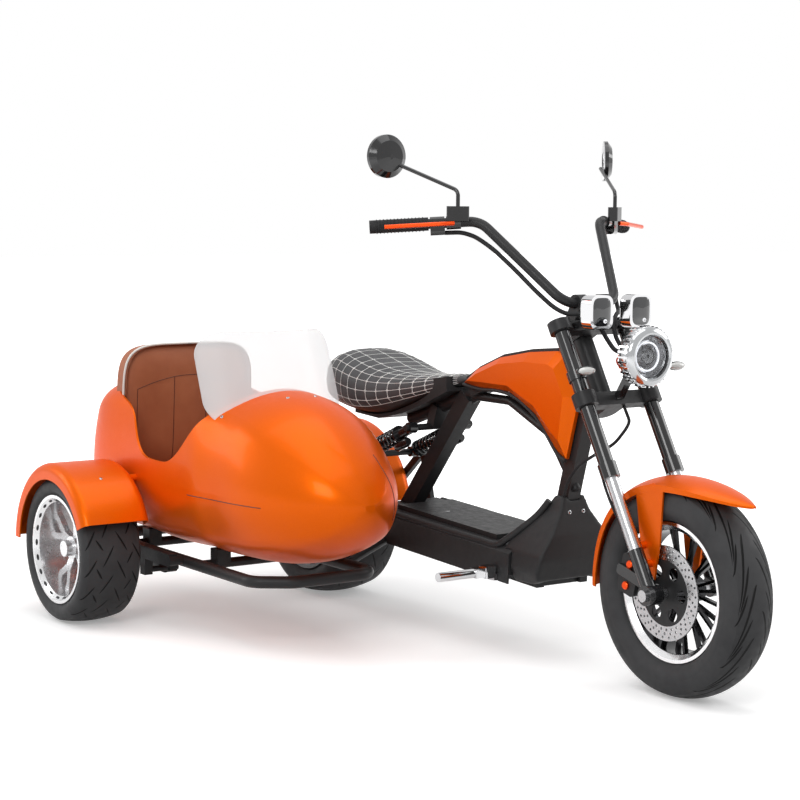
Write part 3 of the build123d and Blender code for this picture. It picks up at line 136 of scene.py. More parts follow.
def seen_rays(tree):
    """1 for rays from the camera, mirrors or glass, and 0 for the light that falls on surfaces."""
    rays = tree.nodes.new("ShaderNodeLightPath").outputs
    calc = calculator(tree)
    return calc("MAXIMUM", calc("MAXIMUM", rays["Is Camera Ray"], rays["Is Transmission Ray"]),
                rays["Is Glossy Ray"])


world = bpy.data.worlds.new("studio")
bpy.context.scene.world = world
world.use_nodes = True
tree = world.node_tree
heading = tree.nodes.new("ShaderNodeTexCoord").outputs["Generated"]
height = step(tree, "ShaderNodeSeparateXYZ", Vector=heading).outputs["Z"]
fill = tree.nodes["Background"]
fill_slot(tree, fill.inputs["Color"], WHITE)
fill_slot(tree, fill.inputs["Strength"], ramp(tree, height, -0.1, 0.9, SKY_LOW, SKY_HIGH))
shown = step(tree, "ShaderNodeBackground", Color=WHITE, Strength=1.0)
choose = step(tree, "ShaderNodeMixShader", Fac=seen_rays(tree))
for shader, slot in ((fill, choose.inputs[1]), (shown, choose.inputs[2]),
                     (choose, tree.nodes["World Output"].inputs["Surface"])):
    tree.links.new(shader.outputs[0], slot)

floor_mesh = bpy.data.meshes.new("floor")
floor_mesh.from_pydata([(-30, -30, 0), (30, -30, 0), (30, 30, 0), (-30, 30, 0)], [], [(0, 1, 2, 3)])
floor = linked("floor", floor_mesh)
floor_paint = bpy.data.materials.new("floor")
floor_paint.use_nodes = True
tree = floor_paint.node_tree
place = tree.nodes.new("ShaderNodeTexCoord").outputs["Object"]
distance = step(tree, "ShaderNodeVectorMath", {"operation": "LENGTH"}, Vector=place).outputs["Value"]
glow = ramp(tree, distance, WHITE_FROM, WHITE_AT, FLOOR_GLOW, 1.0, "SMOOTHSTEP")
for label, value in (
        ("Roughness", 0.9), ("Specular IOR Level", 0.0), ("Emission Color", WHITE),
        ("Emission Strength", calculator(tree)("MULTIPLY", glow, seen_rays(tree))),
        ("Base Color", ramp(tree, seen_rays(tree), 0, 1, FLOOR_BOUNCE, FLOOR_SEEN))):
    fill_slot(tree, tree.nodes["Principled BSDF"].inputs[label], value)
floor_mesh.materials.append(floor_paint)

SOFT_BOXES = [
    # name, where it stands, what it faces, width, height, watts
    ("key", (3.4, -4.4, 3.6), (0.0, -0.2, 0.4), 2.4, 2.4, 120),
    ("left", (-3.4, -3.6, 2.4), (-0.4, -0.3, 0.5), 1.6, 2.4, 45),
    ("top", (0.3, -0.2, 4.2), (0.3, -0.2, 0.0), 3.4, 3.4, 62),
    ("rear", (1.6, 4.4, 2.8), (0.2, 0.0, 0.6), 2.6, 2.0, 60),
]
for name, spot, faces, width, height, watts in SOFT_BOXES:
    lamp = bpy.data.lights.new(name, "AREA")
    lamp.shape = "RECTANGLE"
    lamp.size = width
    lamp.size_y = height
    lamp.energy = watts
    box = linked(name, lamp)
    box.location = spot
    box.rotation_euler = (Vector(faces) - Vector(spot)).to_track_quat("-Z", "Y").to_euler()
print("soft boxes", len(SOFT_BOXES))

# %% [markdown]
# ## Grain
# No real surface is one flat value: powder coat has a fine orange-peel, cast metal is speckled and rubber
# is cloudy. All of these are noise at different sizes, so one node group makes them: it reads Object
# coordinates, which stay put on the piece, and gives a number between two limits. Each material places the
# group with its own values and feeds the result to roughness, to a colour or to the height of a bump.

# %% Grain group and the base of every finish
def new_group(name, kind, inputs, output):
    """A node group with its (label, kind, value) inputs and its output; gives its two ends too."""
    group = bpy.data.node_groups.new(name, kind)
    for label, socket_kind, value in inputs:
        socket = group.interface.new_socket(label, in_out="INPUT", socket_type="NodeSocket" + socket_kind)
        if value is not None:
            socket.default_value = value
    group.interface.new_socket(output[0], in_out="OUTPUT", socket_type="NodeSocket" + output[1])
    return group, group.nodes.new("NodeGroupInput").outputs, group.nodes.new("NodeGroupOutput").inputs


def numbers(**values):
    """Number inputs for a group."""
    return [(label, "Float", value) for label, value in values.items()]


grain_group, given, result = new_group("grain", "ShaderNodeTree", numbers(Scale=100.0, Low=0.0, High=1.0),
                                       ("Value", "Float"))
place = grain_group.nodes.new("ShaderNodeTexCoord").outputs["Object"]
noise = step(grain_group, "ShaderNodeTexNoise", Vector=place, Scale=given["Scale"], Detail=3.0).outputs["Fac"]
grain_group.links.new(ramp(grain_group, noise, 0.3, 0.7, given["Low"], given["High"]), result[0])


def place_group(tree, group, **values):
    """The output of one use of a node group with its own numbers."""
    return step(tree, "ShaderNodeGroup", {"node_tree": group}, **values).outputs[0]


def inside(made):
    """A material's node tree and shader."""
    return made.node_tree, made.node_tree.nodes["Principled BSDF"]


def finish(name, colour, rough, metal=0.0, coat=0.0, coat_rough=0.03, spread=0.08, grain=60.0, shine=0.5,
           **more):
    """A material: colour, a roughness that wanders by spread at the grain's scale, and other inputs."""
    made = bpy.data.materials.new(name)
    made.use_nodes = True
    tree, shader = inside(made)
    cloud = place_group(tree, grain_group, Scale=grain, Low=max(rough - spread, 0.02), High=rough + spread)
    values = dict(more, Base_Color=(*colour, 1), Metallic=metal, Coat_Weight=coat, Roughness=cloud,
                  Coat_Roughness=coat_rough, Specular_IOR_Level=shine)
    for label, value in values.items():
        fill_slot(tree, shader.inputs[label.replace("_", " ")], value)
    return made


def bumpy(made, height, depth, strength=1.0):
    """Feed a height into the shader's normal; depth is in metres."""
    tree, shader = inside(made)
    bump = step(tree, "ShaderNodeBump", Distance=depth, Strength=strength, Height=height)
    tree.links.new(bump.outputs["Normal"], shader.inputs["Normal"])


def blend_colour(tree, factor, first, second):
    """Mix two colours by a factor socket."""
    mix = step(tree, "ShaderNodeMix", {"data_type": "RGBA"}, Factor=factor)
    for slot, value in zip(mix.inputs[6:8], (first, second)):
        fill_slot(tree, slot, value if isinstance(value, bpy.types.NodeSocket) else (*value, 1))
    return mix.outputs[2]


def clouded(tree, scale, first, second):
    """Mix two colours by grain."""
    return blend_colour(tree, place_group(tree, grain_group, Scale=scale), first, second)


print("grain group ready")

# %% [markdown]
# ## Paint
# The body panels are candy orange: metal flakes under a tinted lacquer. A half-metallic base gives the broad
# deep reflections of the flakes, and its specular tint keeps them orange where the surface turns away. A
# thin clear coat adds the small white reflections.

# %% Orange paint
orange_paint = finish("orange_paint", (0.8, 0.13, 0.001), 0.37, metal=0.36, coat=0.10, coat_rough=0.08,
                      spread=0.03, shine=0.3, Specular_Tint=(1.0, 0.30, 0.03, 1))
tree, shader = inside(orange_paint)
tree.links.new(clouded(tree, 900.0, (0.72, 0.095, 0.000), (0.80, 0.128, 0.001)), shader.inputs["Base Color"])
orange_anodised = finish("orange_anodised", (0.75, 0.07, 0.01), 0.28, metal=0.9)
print("paint ready")

# %% [markdown]
# ## Blacks
# Four blacks are on the vehicle: powder coat with an orange-peel on the frame, gloss lacquer on the fork
# tubes and mirrors, moulded plastic on the footboard, and rubber. They differ in gloss and in bump, hardly
# in colour.

# %% Black finishes
powder_black = finish("powder_black", (0.020, 0.020, 0.021), 0.42, spread=0.06, shine=0.25)
gloss_black = finish("gloss_black", (0.012, 0.012, 0.013), 0.12, coat=0.5, spread=0.04, shine=0.3)
moulded_black = finish("moulded_black", (0.026, 0.026, 0.027), 0.48, spread=0.07, shine=0.2)
soft_rubber = finish("soft_rubber", (0.018, 0.018, 0.019), 0.62, shine=0.2)
for made, scale, depth, strength in ((powder_black, 420.0, 0.0002, 0.25), (moulded_black, 700.0, 0.0003, 0.35)):
    bumpy(made, place_group(made.node_tree, grain_group, Scale=scale), depth, strength)
print("blacks ready")

# %% [markdown]
# ## Bright metal
# Chrome is a nearly perfect mirror, polished alloy is a little softer, and machined steel is softer still,
# with a finer grain. Cast metal is dark and half metallic.

# %% Metals
chrome = finish("chrome", (0.62, 0.62, 0.63), 0.07, metal=1.0, spread=0.03, grain=25.0)
polished_alloy = finish("polished_alloy", (0.70, 0.70, 0.71), 0.24, metal=0.8, coat=0.3, spread=0.06)
brushed_steel = finish("brushed_steel", (0.44, 0.44, 0.45), 0.27, metal=1.0, spread=0.1, grain=240.0)
cast_dark = finish("cast_dark", (0.10, 0.10, 0.105), 0.30, metal=0.75, coat=0.5)
cast_black = finish("cast_black", (0.025, 0.025, 0.026), 0.35, metal=0.4, coat=0.5)
print("metals ready")

# %% [markdown]
# ## Clear parts
# The sidecar's screen is thin acrylic with a milky protective film, so what is behind it turns pale rather
# than bent: a plain see-through surface does that better than thick glass. Lamp glass is clear and keeps a
# full transmission.

# %% Clear finishes
screen_film = finish("screen_film", (0.93, 0.94, 0.95), 0.10, spread=0.02, Alpha=0.48, IOR=1.2)
lamp_glass = finish("lamp_glass", (0.97, 0.98, 1.0), 0.03, spread=0.01, Transmission_Weight=1.0, IOR=1.3)
red_glass = finish("red_glass", (0.55, 0.01, 0.01), 0.12, coat=1.0)
print("finishes", len(bpy.data.materials))

# %% [markdown]
# ## Tyre treads
# The grooves are moulded 5 mm deep into round tyres. Cutting hundreds of curved grooves in the mesh would
# cost far more faces than the tyre itself, so they are drawn in the material: the angle round the axle and
# the place across the tread give two flat coordinates, one group turns them into a curved, tapering groove,
# and each tyre places that group a few times. The groove lowers a bump, and its near-black colour is
# painted shade, as in a deep recess.

# %% Tread group
groove_group, given, result = new_group("tread groove", "ShaderNodeTree", numbers(
    Count=14.0, Sweep=1.0, Curve=1.5, Shift=0.0, Stagger=0.5, Inner=0.1, Outer=0.8, Width=0.05, Turn=0.0,
    Across=0.0), ("Groove", "Float"))
calc = calculator(groove_group)
away = calc("ABSOLUTE", given["Across"])
sweep = calc("MULTIPLY", calc("POWER", away, given["Curve"]), given["Sweep"])
side = calc("GREATER_THAN", given["Across"], 0.0)
stagger = calc("MULTIPLY_ADD", side, given["Stagger"], given["Shift"])
phase = calc("MULTIPLY_ADD", given["Turn"], given["Count"], sweep)
off_line = calc("ABSOLUTE", calc("SUBTRACT", calc("FRACT", calc("ADD", phase, stagger)), 0.5))
middle = calc("MULTIPLY", calc("ADD", given["Inner"], given["Outer"]), 0.5)
half = calc("MULTIPLY", calc("SUBTRACT", given["Outer"], given["Inner"]), 0.5)
along = calc("DIVIDE", calc("ABSOLUTE", calc("SUBTRACT", away, middle)), half)
width = calc("MULTIPLY", given["Width"], calc("SUBTRACT", 1.0, calc("POWER", along, 3.0)))
edge = ramp(groove_group, off_line, calc("MULTIPLY", width, 0.6), width, 1.0, 0.0, "SMOOTHSTEP")
groove_group.links.new(calc("MULTIPLY", edge, calc("LESS_THAN", along, 1.0)), result[0])


def about_axle(tree, node):
    """Object coordinates counted from the middle of a CAD node, and the node's half size."""
    low, high = [Vector(corner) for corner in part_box(node)]
    place = tree.nodes.new("ShaderNodeTexCoord").outputs["Object"]
    centred = step(tree, "ShaderNodeMapping", Vector=place, Location=-(low + high) / 2)
    return centred.outputs[0], (high - low) / 2


def tread_rubber(name, node, grooves):
    """Rubber with a set of grooves, laid out about the axle of the tyre's own CAD node."""
    made = finish(name, (0.030, 0.030, 0.031), 0.55, spread=0.08, shine=0.15)
    tree, shader = inside(made)
    calc = calculator(tree)
    centred, half = about_axle(tree, node)
    x, y, z = step(tree, "ShaderNodeSeparateXYZ", Vector=centred).outputs
    turn = calc("DIVIDE", calc("ARCTAN2", z, x), 2 * math.pi)
    across = calc("DIVIDE", y, half.y)
    mask = 0.0
    for row in grooves:
        values = dict(zip(("Count", "Sweep", "Curve", "Shift", "Stagger", "Inner", "Outer", "Width"), row))
        mask = calc("MAXIMUM", mask, place_group(tree, groove_group, Turn=turn, Across=across, **values))
    radius = calc("SQRT", calc("ADD", calc("POWER", x, 2.0), calc("POWER", z, 2.0)))
    mask = calc("MULTIPLY", mask, calc("GREATER_THAN", radius, half.z * 0.83))
    rubber = clouded(tree, 14.0, (0.045, 0.045, 0.047), (0.062, 0.062, 0.064))
    # painted shade: inside the grooves the rubber is coloured near black, standing for the shade in the recess
    tree.links.new(blend_colour(tree, mask, rubber, (0.004, 0.004, 0.004)), shader.inputs["Base Color"])
    bumpy(made, calc("SUBTRACT", 1.0, mask), 0.006)
    return made


front_rubber = tread_rubber("front_rubber", "front_tyre", [
    # count, sweep, curve, shift, stagger, inner, outer, width
    (13, 2.1, 1.7, 0.00, 0.5, 0.10, 0.86, 0.105),
    (13, 1.6, 1.5, 0.42, 0.5, 0.30, 0.80, 0.085),
    (13, 1.3, 1.4, 0.72, 0.5, 0.50, 0.90, 0.070),
])
wide_grooves = [
    (16, 1.9, 1.0, 0.00, 0.5, 0.04, 0.42, 0.07),
    (16, -1.7, 1.0, 0.90, 0.5, 0.40, 0.62, 0.07),
    (16, 1.9, 1.0, 0.38, 0.5, 0.60, 0.95, 0.07),
]
side_rubber = tread_rubber("side_rubber", "sidecar_tyre", wide_grooves)
rear_rubber = tread_rubber("rear_rubber", "rear_tyre", wide_grooves)
print("tyres ready")

# %% [markdown]
# ## Leather
# Leather is cells with soft valleys between them: a Voronoi texture's distance gives the cells and grain
# adds the wrinkles. The saddle is dark grey, the sidecar's cushions are tan.

# %% Leather
def leather(name, dark, light, cells, rough):
    """Grained leather in two close shades."""
    made = finish(name, light, rough, spread=0.06, shine=0.3)
    tree, shader = inside(made)
    place = tree.nodes.new("ShaderNodeTexCoord").outputs["Object"]
    cell = step(tree, "ShaderNodeTexVoronoi", {"feature": "DISTANCE_TO_EDGE"}, Vector=place, Scale=cells)
    tree.links.new(clouded(tree, 9.0, dark, light), shader.inputs["Base Color"])
    bumpy(made, cell.outputs["Distance"], 0.0012, 0.35)
    return made


saddle_leather = leather("saddle_leather", (0.050, 0.050, 0.053), (0.075, 0.075, 0.078), 520.0, 0.5)
tan_leather = leather("tan_leather", (0.31, 0.090, 0.038), (0.41, 0.135, 0.060), 420.0, 0.45)
print("leather ready")

# %% [markdown]
# ## Dressing the CAD nodes
# Where the CAD shape is already right, the node stays and only takes its finish.

# %% Finishes on the CAD nodes
CAD_FINISHES = {
    orange_paint: "side_panels rear_fender front_fender sidecar_tub sidecar_fender",
    powder_black: "main_frame swing_arm sidecar_chassis sidecar_arm lower_clamp top_clamp handlebar "
                  "front_caliper rear_shocks sidecar_shock",
    gloss_black: "fork_tubes fork_lower_legs mirrors brake_masters switch_housings headlight_shell",
    moulded_black: "deck_box battery_lid front_cover spine_cover saddle_pan battery",
    soft_rubber: "grips hoses steering_loom",
    chrome: "lamp_pods foot_pegs",
    brushed_steel: "front_disc front_axle rear_axle fork_stanchions",
    polished_alloy: "sidecar_rim",
    cast_dark: "front_rim",
    cast_black: "rear_rim",
    orange_anodised: "brake_levers",
    front_rubber: "front_tyre",
    side_rubber: "sidecar_tyre",
    rear_rubber: "rear_tyre",
    screen_film: "windscreen",
    lamp_glass: "headlight_lens turn_signals",
    red_glass: "tail_light",
    saddle_leather: "saddle",
    tan_leather: "sidecar_seat_base sidecar_seat_back",
}


def dress(node, made):
    """Give a CAD node one finish."""
    nodes[node].data.materials.clear()
    nodes[node].data.materials.append(made)


for made, names in CAD_FINISHES.items():
    for name in names.split():
        dress(name, made)
print("dressed", sum(len(names.split()) for names in CAD_FINISHES.values()), "of", len(nodes))

# %% [markdown]
# ## Places and plain shapes
# Every piece below is placed in millimetres from the floor point under the rear axle, as on a drawing, and
# one function turns that into the row frame. Round parts are outlines turned about an axis, and pipes are
# curves with a round section. Each piece ends as a plain mesh whose object stays at the world's origin.

# %% Places, turned shapes and pipes
low, high = [Vector(corner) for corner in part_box("rear_tyre")]
AXLE_FOOT = Vector(((low.x + high.x) / 2, (low.y + high.y) / 2, 0))
FORWARDS, LEFT, UP = Vector((1, 0, 0)), Vector((0, 1, 0)), Vector((0, 0, 1))
FORK_FOOT = (1246.7, 0, 642.7)
RAKE = math.radians(30)
FORK_AHEAD = Vector((math.cos(RAKE), 0, math.sin(RAKE)))
FORK_ALONG = Vector((-math.sin(RAKE), 0, math.cos(RAKE)))
CAST_FROM = 0.15                # metres from which rays look for a surface


def at(x, y, z):
    """Row-frame place of a drawing point."""
    return AXLE_FOOT + Vector((x, y, z)) / 1000


def on_fork(ahead, side, along):
    """Row-frame place of a point measured along the steering axis."""
    return at(*FORK_FOOT) + (FORK_AHEAD * ahead + LEFT * side + FORK_ALONG * along) / 1000


def tidy(mesh, angle=35):
    """Merge doubles, turn faces outwards and shade smooth up to an angle."""
    work = bmesh.new()
    work.from_mesh(mesh)
    bmesh.ops.remove_doubles(work, verts=work.verts, dist=1e-6)
    bmesh.ops.recalc_face_normals(work, faces=work.faces)
    for face in work.faces:
        face.smooth = True
    for edge in work.edges:
        edge.smooth = len(edge.link_faces) == 2 and edge.calc_face_angle(0) < math.radians(angle)
    work.to_mesh(mesh)
    work.free()


def mesh_object(name, points, faces):
    """A smooth mesh with outward normals, built from points and faces."""
    mesh = bpy.data.meshes.new(name)
    mesh.from_pydata([tuple(point) for point in points], [], faces)
    tidy(mesh)
    return linked(name, mesh)


def quads(rows, around, wrap=False, ring=True):
    """Faces between neighbouring rows of points; wrap joins the last row to the first, ring each row's ends."""
    faces = []
    for row in range(rows if wrap else rows - 1):
        here, there = row * around, (row + 1) % rows * around
        for spot in range(around if ring else around - 1):
            after = (spot + 1) % around
            faces.append((here + spot, here + after, there + after, there + spot))
    return faces


def axes_for(axis):
    """Two directions square to an axis."""
    first = axis.cross(UP if abs(axis.dot(UP)) < 0.9 else FORWARDS).normalized()
    return first, axis.cross(first).normalized()


def circle(count, first, second):
    """Unit directions evenly round a circle from first towards second."""
    turns = [2 * math.pi * number / count for number in range(count)]
    return [first * math.cos(turn) + second * math.sin(turn) for turn in turns]


def turned(name, outline, middle, axis, steps=40):
    """Turn an outline of (radius, distance along the axis), in millimetres, about an axis."""
    axis = Vector(axis).normalized()
    points = [middle + (spoke * radius + axis * along) / 1000
              for spoke in circle(steps, *axes_for(axis)) for radius, along in outline]
    closed = outline[0][0] > 0 and outline[0] != outline[-1]
    return mesh_object(name, points, quads(steps, len(outline), wrap=True, ring=closed))


def soft(a, b, c, d, t):
    """Point between b and c on the soft curve through four points or numbers."""
    return 0.5 * (2 * b + (c - a) * t + (2 * a - 5 * b + 4 * c - d) * t * t + (3 * b - a - 3 * c + d) * t ** 3)


def around_row(rows, number):
    """The rows before, at and after a number; the ends are doubled."""
    return [rows[min(max(number + shift, 0), len(rows) - 1)] for shift in (-1, 0, 1, 2)]


def smooth_path(points, steps=8):
    """Points of a soft curve through the given ones."""
    points = [Vector(point) for point in points]
    path = [soft(*around_row(points, number), part / steps)
            for number in range(len(points) - 1) for part in range(steps)]
    return path + [points[-1]]


def pipe(name, path, radius, sides=8, closed=False):
    """Round bar along a path, in metres; its radius is in millimetres."""
    points = []
    count = len(path)
    side = None
    for number, point in enumerate(path):
        before = path[(number - 1) % count] if closed or number else point
        after = path[(number + 1) % count] if closed or number < count - 1 else point
        run = (after - before).normalized()
        side = axes_for(run)[0] if side is None else (side - run * side.dot(run)).normalized()
        points += [point + spoke * radius / 1000 for spoke in circle(sides, side, run.cross(side))]
    faces = quads(count, sides, wrap=closed)
    if not closed:
        faces += [tuple(range(sides)), tuple(range((count - 1) * sides, count * sides))]
    return mesh_object(name, points, faces)


def joined(name, parts):
    """One object from several; the parts' objects are deleted."""
    work = bmesh.new()
    for part in parts:
        work.from_mesh(part.data)
    mesh = bpy.data.meshes.new(name)
    work.to_mesh(mesh)
    work.free()
    for part in parts:
        bpy.data.objects.remove(part)
    return linked(name, mesh)


def on_skin(obj, path, way_at):
    """First place on an object that each point of a path meets, coming along the way at that point."""
    found = []
    for point in path:
        way = way_at(point)
        hit, place, normal, index = obj.ray_cast(obj.matrix_world.inverted() @ (point - way * CAST_FROM), way)
        if hit:
            found.append(obj.matrix_world @ place)
    return found


def baked(obj):
    """Turn what an object's modifiers make into its plain mesh."""
    bpy.context.view_layer.update()
    made = bpy.data.meshes.new_from_object(obj.evaluated_get(bpy.context.evaluated_depsgraph_get()))
    obj.modifiers.clear()
    obj.data = made
    return obj


def keep(obj, body, material, slot_name, *replaced):
    """Give a finished piece its material and its body; it may stand for CAD nodes. The slot name is not used.
    """
    obj.data.materials.clear()
    obj.data.materials.append(material)
    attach(obj, body)
    if replaced:
        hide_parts(*replaced)
    return obj


print("rear axle over", [round(v, 4) for v in AXLE_FOOT])

# %% [markdown]
# ## Repeats with Geometry Nodes
# Three groups do the repeated work. One puts a copy of a small piece on every point and turns it to the
# point's own direction: bolts, ribs and lamp fins. One lays copies along lines: stitches. One draws a coil
# spring. Each result is written to a plain mesh at once.

# %% Geometry groups
GEOMETRY = ("Geometry", "Geometry", None)
FINISH = ("Finish", "Material", None)


def geometry_group(name, inputs):
    """A geometry group that ends in a mesh with one finish."""
    return new_group(name, "GeometryNodeTree", [GEOMETRY, *inputs, FINISH], GEOMETRY)


def paint_and_end(tree, made):
    """Give the geometry the group's finish and send it out."""
    painted = step(tree, "GeometryNodeSetMaterial", Geometry=made, Material=given["Finish"])
    tree.links.new(painted.outputs[0], result[0])


def on_points(tree, points, copy, **turn):
    """Copies on points, as real geometry."""
    spots = step(tree, "GeometryNodeInstanceOnPoints", Points=points, Instance=copy, **turn)
    return step(tree, "GeometryNodeRealizeInstances", Geometry=spots.outputs[0]).outputs[0]


def grow(obj, group, **values):
    """Run a geometry group on a mesh object and keep what it makes as the object's plain mesh."""
    modifier = obj.modifiers.new("grow", "NODES")
    modifier.node_group = group
    for item in group.interface.items_tree:
        if item.in_out == "INPUT" and item.name in values:
            modifier[item.identifier] = values[item.name]
    baked(obj)
    for name in ("facing", "across"):
        if name in obj.data.attributes:
            obj.data.attributes.remove(obj.data.attributes[name])
    return obj


copies_group, given, result = geometry_group("copies on points", [("Copy", "Object", None)])
tree = copies_group
ways = [step(tree, "GeometryNodeInputNamedAttribute", {"data_type": "FLOAT_VECTOR"}, Name=name).outputs[0]
        for name in ("facing", "across")]
turn = step(tree, "FunctionNodeAxesToRotation", {"primary_axis": "Z", "secondary_axis": "X"},
            Primary_Axis=ways[0], Secondary_Axis=ways[1])
copy = step(tree, "GeometryNodeObjectInfo", Object=given["Copy"])
paint_and_end(tree, on_points(tree, given["Geometry"], copy.outputs["Geometry"], Rotation=turn.outputs[0]))

stitch_group, given, result = geometry_group("stitches on lines", numbers(
    Spacing=0.005, Length=0.0036, Thickness=0.001))
tree = stitch_group
lines = step(tree, "GeometryNodeMeshToCurve", Mesh=given["Geometry"])
points = step(tree, "GeometryNodeCurveToPoints", {"mode": "LENGTH"}, Curve=lines.outputs[0],
              Length=given["Spacing"])
size = step(tree, "ShaderNodeCombineXYZ", X=given["Thickness"], Y=given["Thickness"], Z=given["Length"])
thread = step(tree, "GeometryNodeMeshCube", Size=size.outputs[0])
paint_and_end(tree, on_points(tree, points.outputs["Points"], thread.outputs["Mesh"],
                              Rotation=points.outputs["Rotation"]))

coil_group, given, result = geometry_group("coil spring", numbers(
    Turns=9.0, Radius=0.02, Height=0.1, Wire=0.003))
tree = coil_group
spiral = step(tree, "GeometryNodeCurveSpiral", Resolution=20, Rotations=given["Turns"],
              Start_Radius=given["Radius"], End_Radius=given["Radius"], Height=given["Height"])
section = step(tree, "GeometryNodeCurvePrimitiveCircle", Resolution=8, Radius=given["Wire"])
wire = step(tree, "GeometryNodeCurveToMesh", Curve=spiral.outputs[0], Profile_Curve=section.outputs[0],
            Fill_Caps=True)
paint_and_end(tree, step(tree, "GeometryNodeSetShadeSmooth", Geometry=wire.outputs[0]).outputs[0])


def empty_mesh(name):
    """An object that a geometry group fills."""
    return linked(name, bpy.data.meshes.new(name))


def copies(name, prototype, spots, material):
    """Copies of a small piece at (place, facing, across) spots, as one object."""
    obj = empty_mesh(name)
    obj.data.from_pydata([tuple(place) for place, facing, across in spots], [], [])
    for label, part in (("facing", 1), ("across", 2)):
        attribute = obj.data.attributes.new(label, "FLOAT_VECTOR", "POINT")
        for value, spot in zip(attribute.data, spots):
            value.vector = spot[part]
    grow(obj, copies_group, Copy=prototype, Finish=material)
    bpy.data.objects.remove(prototype)
    return obj


def placed(obj, middle, axis):
    """Move a mesh drawn about the origin and Z to a place and an axis."""
    axis = Vector(axis).normalized()
    turn = Matrix((*axes_for(axis), axis)).transposed().to_4x4()
    obj.data.transform(Matrix.Translation(middle) @ turn)
    tidy(obj.data)
    return obj


print("geometry groups", [group.name for group in (copies_group, stitch_group, coil_group)])

# %% [markdown]
# ## Saddle
# The saddle starts as a grid of sections, a little thinner than the CAD saddle. The seams of its quilt run
# along the grid, so their points can be pinned: cloth pressure then swells each patch between them, as
# foam does under leather. The white thread follows the same grid lines after the swelling, so it lies in
# the seams exactly, and small crosses mark where they meet.

# %% Saddle grid
SADDLE_TABLE = [
    # x, half width, low z, high z
    (132, 96, 588, 706), (170, 122, 572, 724), (215, 137, 566, 733), (280, 147, 561, 722),
    (340, 148, 562, 707), (400, 136, 572, 693), (460, 117, 590, 686), (515, 94, 610, 684),
    (570, 70, 630, 687), (630, 49, 652, 692), (684, 31, 670, 694),
]
SADDLE_REAR, SADDLE_LENGTH = SADDLE_TABLE[0][0], SADDLE_TABLE[-1][0] - SADDLE_TABLE[0][0]
END_ROUND = 34                  # length over which the saddle's ends are rounded
ROWS, ROUND, PATCH = 60, 80, 4
SEAM_LIMIT = 28                 # columns from the top's middle that carry seams
PRESSURE = 4.0
SADDLE_CAP, CUSHION_CAP = 0.006, 0.012


def table_values(table, x):
    """Soft interpolation of a table's columns over its first."""
    number = 0
    while number < len(table) - 2 and x > table[number + 1][0]:
        number += 1
    rows = around_row(table, number)
    share = (x - rows[1][0]) / (rows[2][0] - rows[1][0])
    return [soft(*column, share) for column in list(zip(*rows))[1:]]


def superellipse(angle, across, up, power):
    """Point of a rounded section at an angle from its top."""
    s, c = math.sin(angle), math.cos(angle)
    return (math.copysign(abs(s) ** (2 / power), s) * across, math.copysign(abs(c) ** (2 / power), c) * up)


def saddle_point(row, column):
    """Grid point of the saddle; column 0 is the middle of the top."""
    share = row / ROWS
    x = SADDLE_REAR + SADDLE_LENGTH * share
    near_end = min(share, 1 - share) * SADDLE_LENGTH
    shrink = math.sqrt(max(1 - (1 - min(near_end / END_ROUND, 1)) ** 2, 0.10))
    half, low, high = table_values(SADDLE_TABLE, x)
    y, z = superellipse(2 * math.pi * column / ROUND, half * shrink, (high - low) / 2 * shrink, 2.7)
    return at(x, y, (low + high) / 2 + z)


points = [saddle_point(row, column) for row in range(ROWS + 1) for column in range(ROUND)]
faces = quads(ROWS + 1, ROUND) + [tuple(range(ROUND)), tuple(range(ROWS * ROUND, (ROWS + 1) * ROUND))]
saddle = mesh_object("saddle_cushion", points, faces)


def on_seam(row, column):
    """Whether a grid point is on the quilt's seams or under the saddle."""
    off = (column + ROUND // 2) % ROUND - ROUND // 2
    return abs(off) > SEAM_LIMIT or off % PATCH == 0 or row % PATCH == 0


def swell(obj, pinned, cap):
    """Cloth pressure with the pinned points held; no point may move further than the cap, in metres."""
    start = [vertex.co.copy() for vertex in obj.data.vertices]
    pins = obj.vertex_groups.new(name="pins")
    pins.add(pinned, 1.0, "REPLACE")
    cloth = obj.modifiers.new("cloth", "CLOTH").settings
    cloth.use_pressure = True
    cloth.uniform_pressure_force = PRESSURE
    cloth.effector_weights.gravity = 0
    cloth.vertex_group_mass = "pins"
    cloth.tension_stiffness = 12
    cloth.compression_stiffness = 12
    cloth.bending_stiffness = 0.3
    cloth.quality = 4
    for number in range(1, 21):
        bpy.context.scene.frame_set(number)
    baked(obj)
    obj.vertex_groups.clear()
    for vertex, place in zip(obj.data.vertices, start):
        move = vertex.co - place
        vertex.co = place + move * min(1, cap / max(move.length, 1e-9))
    bpy.context.scene.frame_set(1)


pinned = [row * ROUND + column for row in range(ROWS + 1) for column in range(ROUND) if on_seam(row, column)]
swell(saddle, pinned, SADDLE_CAP)
surface = [vertex.co.copy() for vertex in saddle.data.vertices]
keep(saddle, "root", saddle_leather, "saddle_leather", "saddle")
print("saddle points", len(surface), "pinned", len(pinned))

# %% [markdown]
# The thread is lifted along the surface's own normal, so that it neither sinks in nor floats.

# %% Saddle thread
THREAD_LIFT, CROSS_LIFT, CROSS_HALF = 0.0003, 0.0009, 0.0048
normals = [vertex.normal.copy() for vertex in saddle.data.vertices]
seams = [[row * ROUND + off % ROUND for row in range(2, ROWS - 1)]
         for off in range(-SEAM_LIMIT, SEAM_LIMIT + 1, PATCH)]
seams += [[row * ROUND + off % ROUND for off in range(-SEAM_LIMIT, SEAM_LIMIT + 1)]
          for row in range(PATCH, ROWS - 1, PATCH)]
thread_points, thread_edges = [], []
for seam in seams:
    first = len(thread_points)
    thread_points.extend(tuple(surface[index] + normals[index] * THREAD_LIFT) for index in seam)
    thread_edges.extend((first + number, first + number + 1) for number in range(len(seam) - 1))
thread_white = finish("thread_white", (0.80, 0.80, 0.78), 0.6)
saddle_thread = empty_mesh("saddle_thread")
saddle_thread.data.from_pydata(thread_points, thread_edges, [])
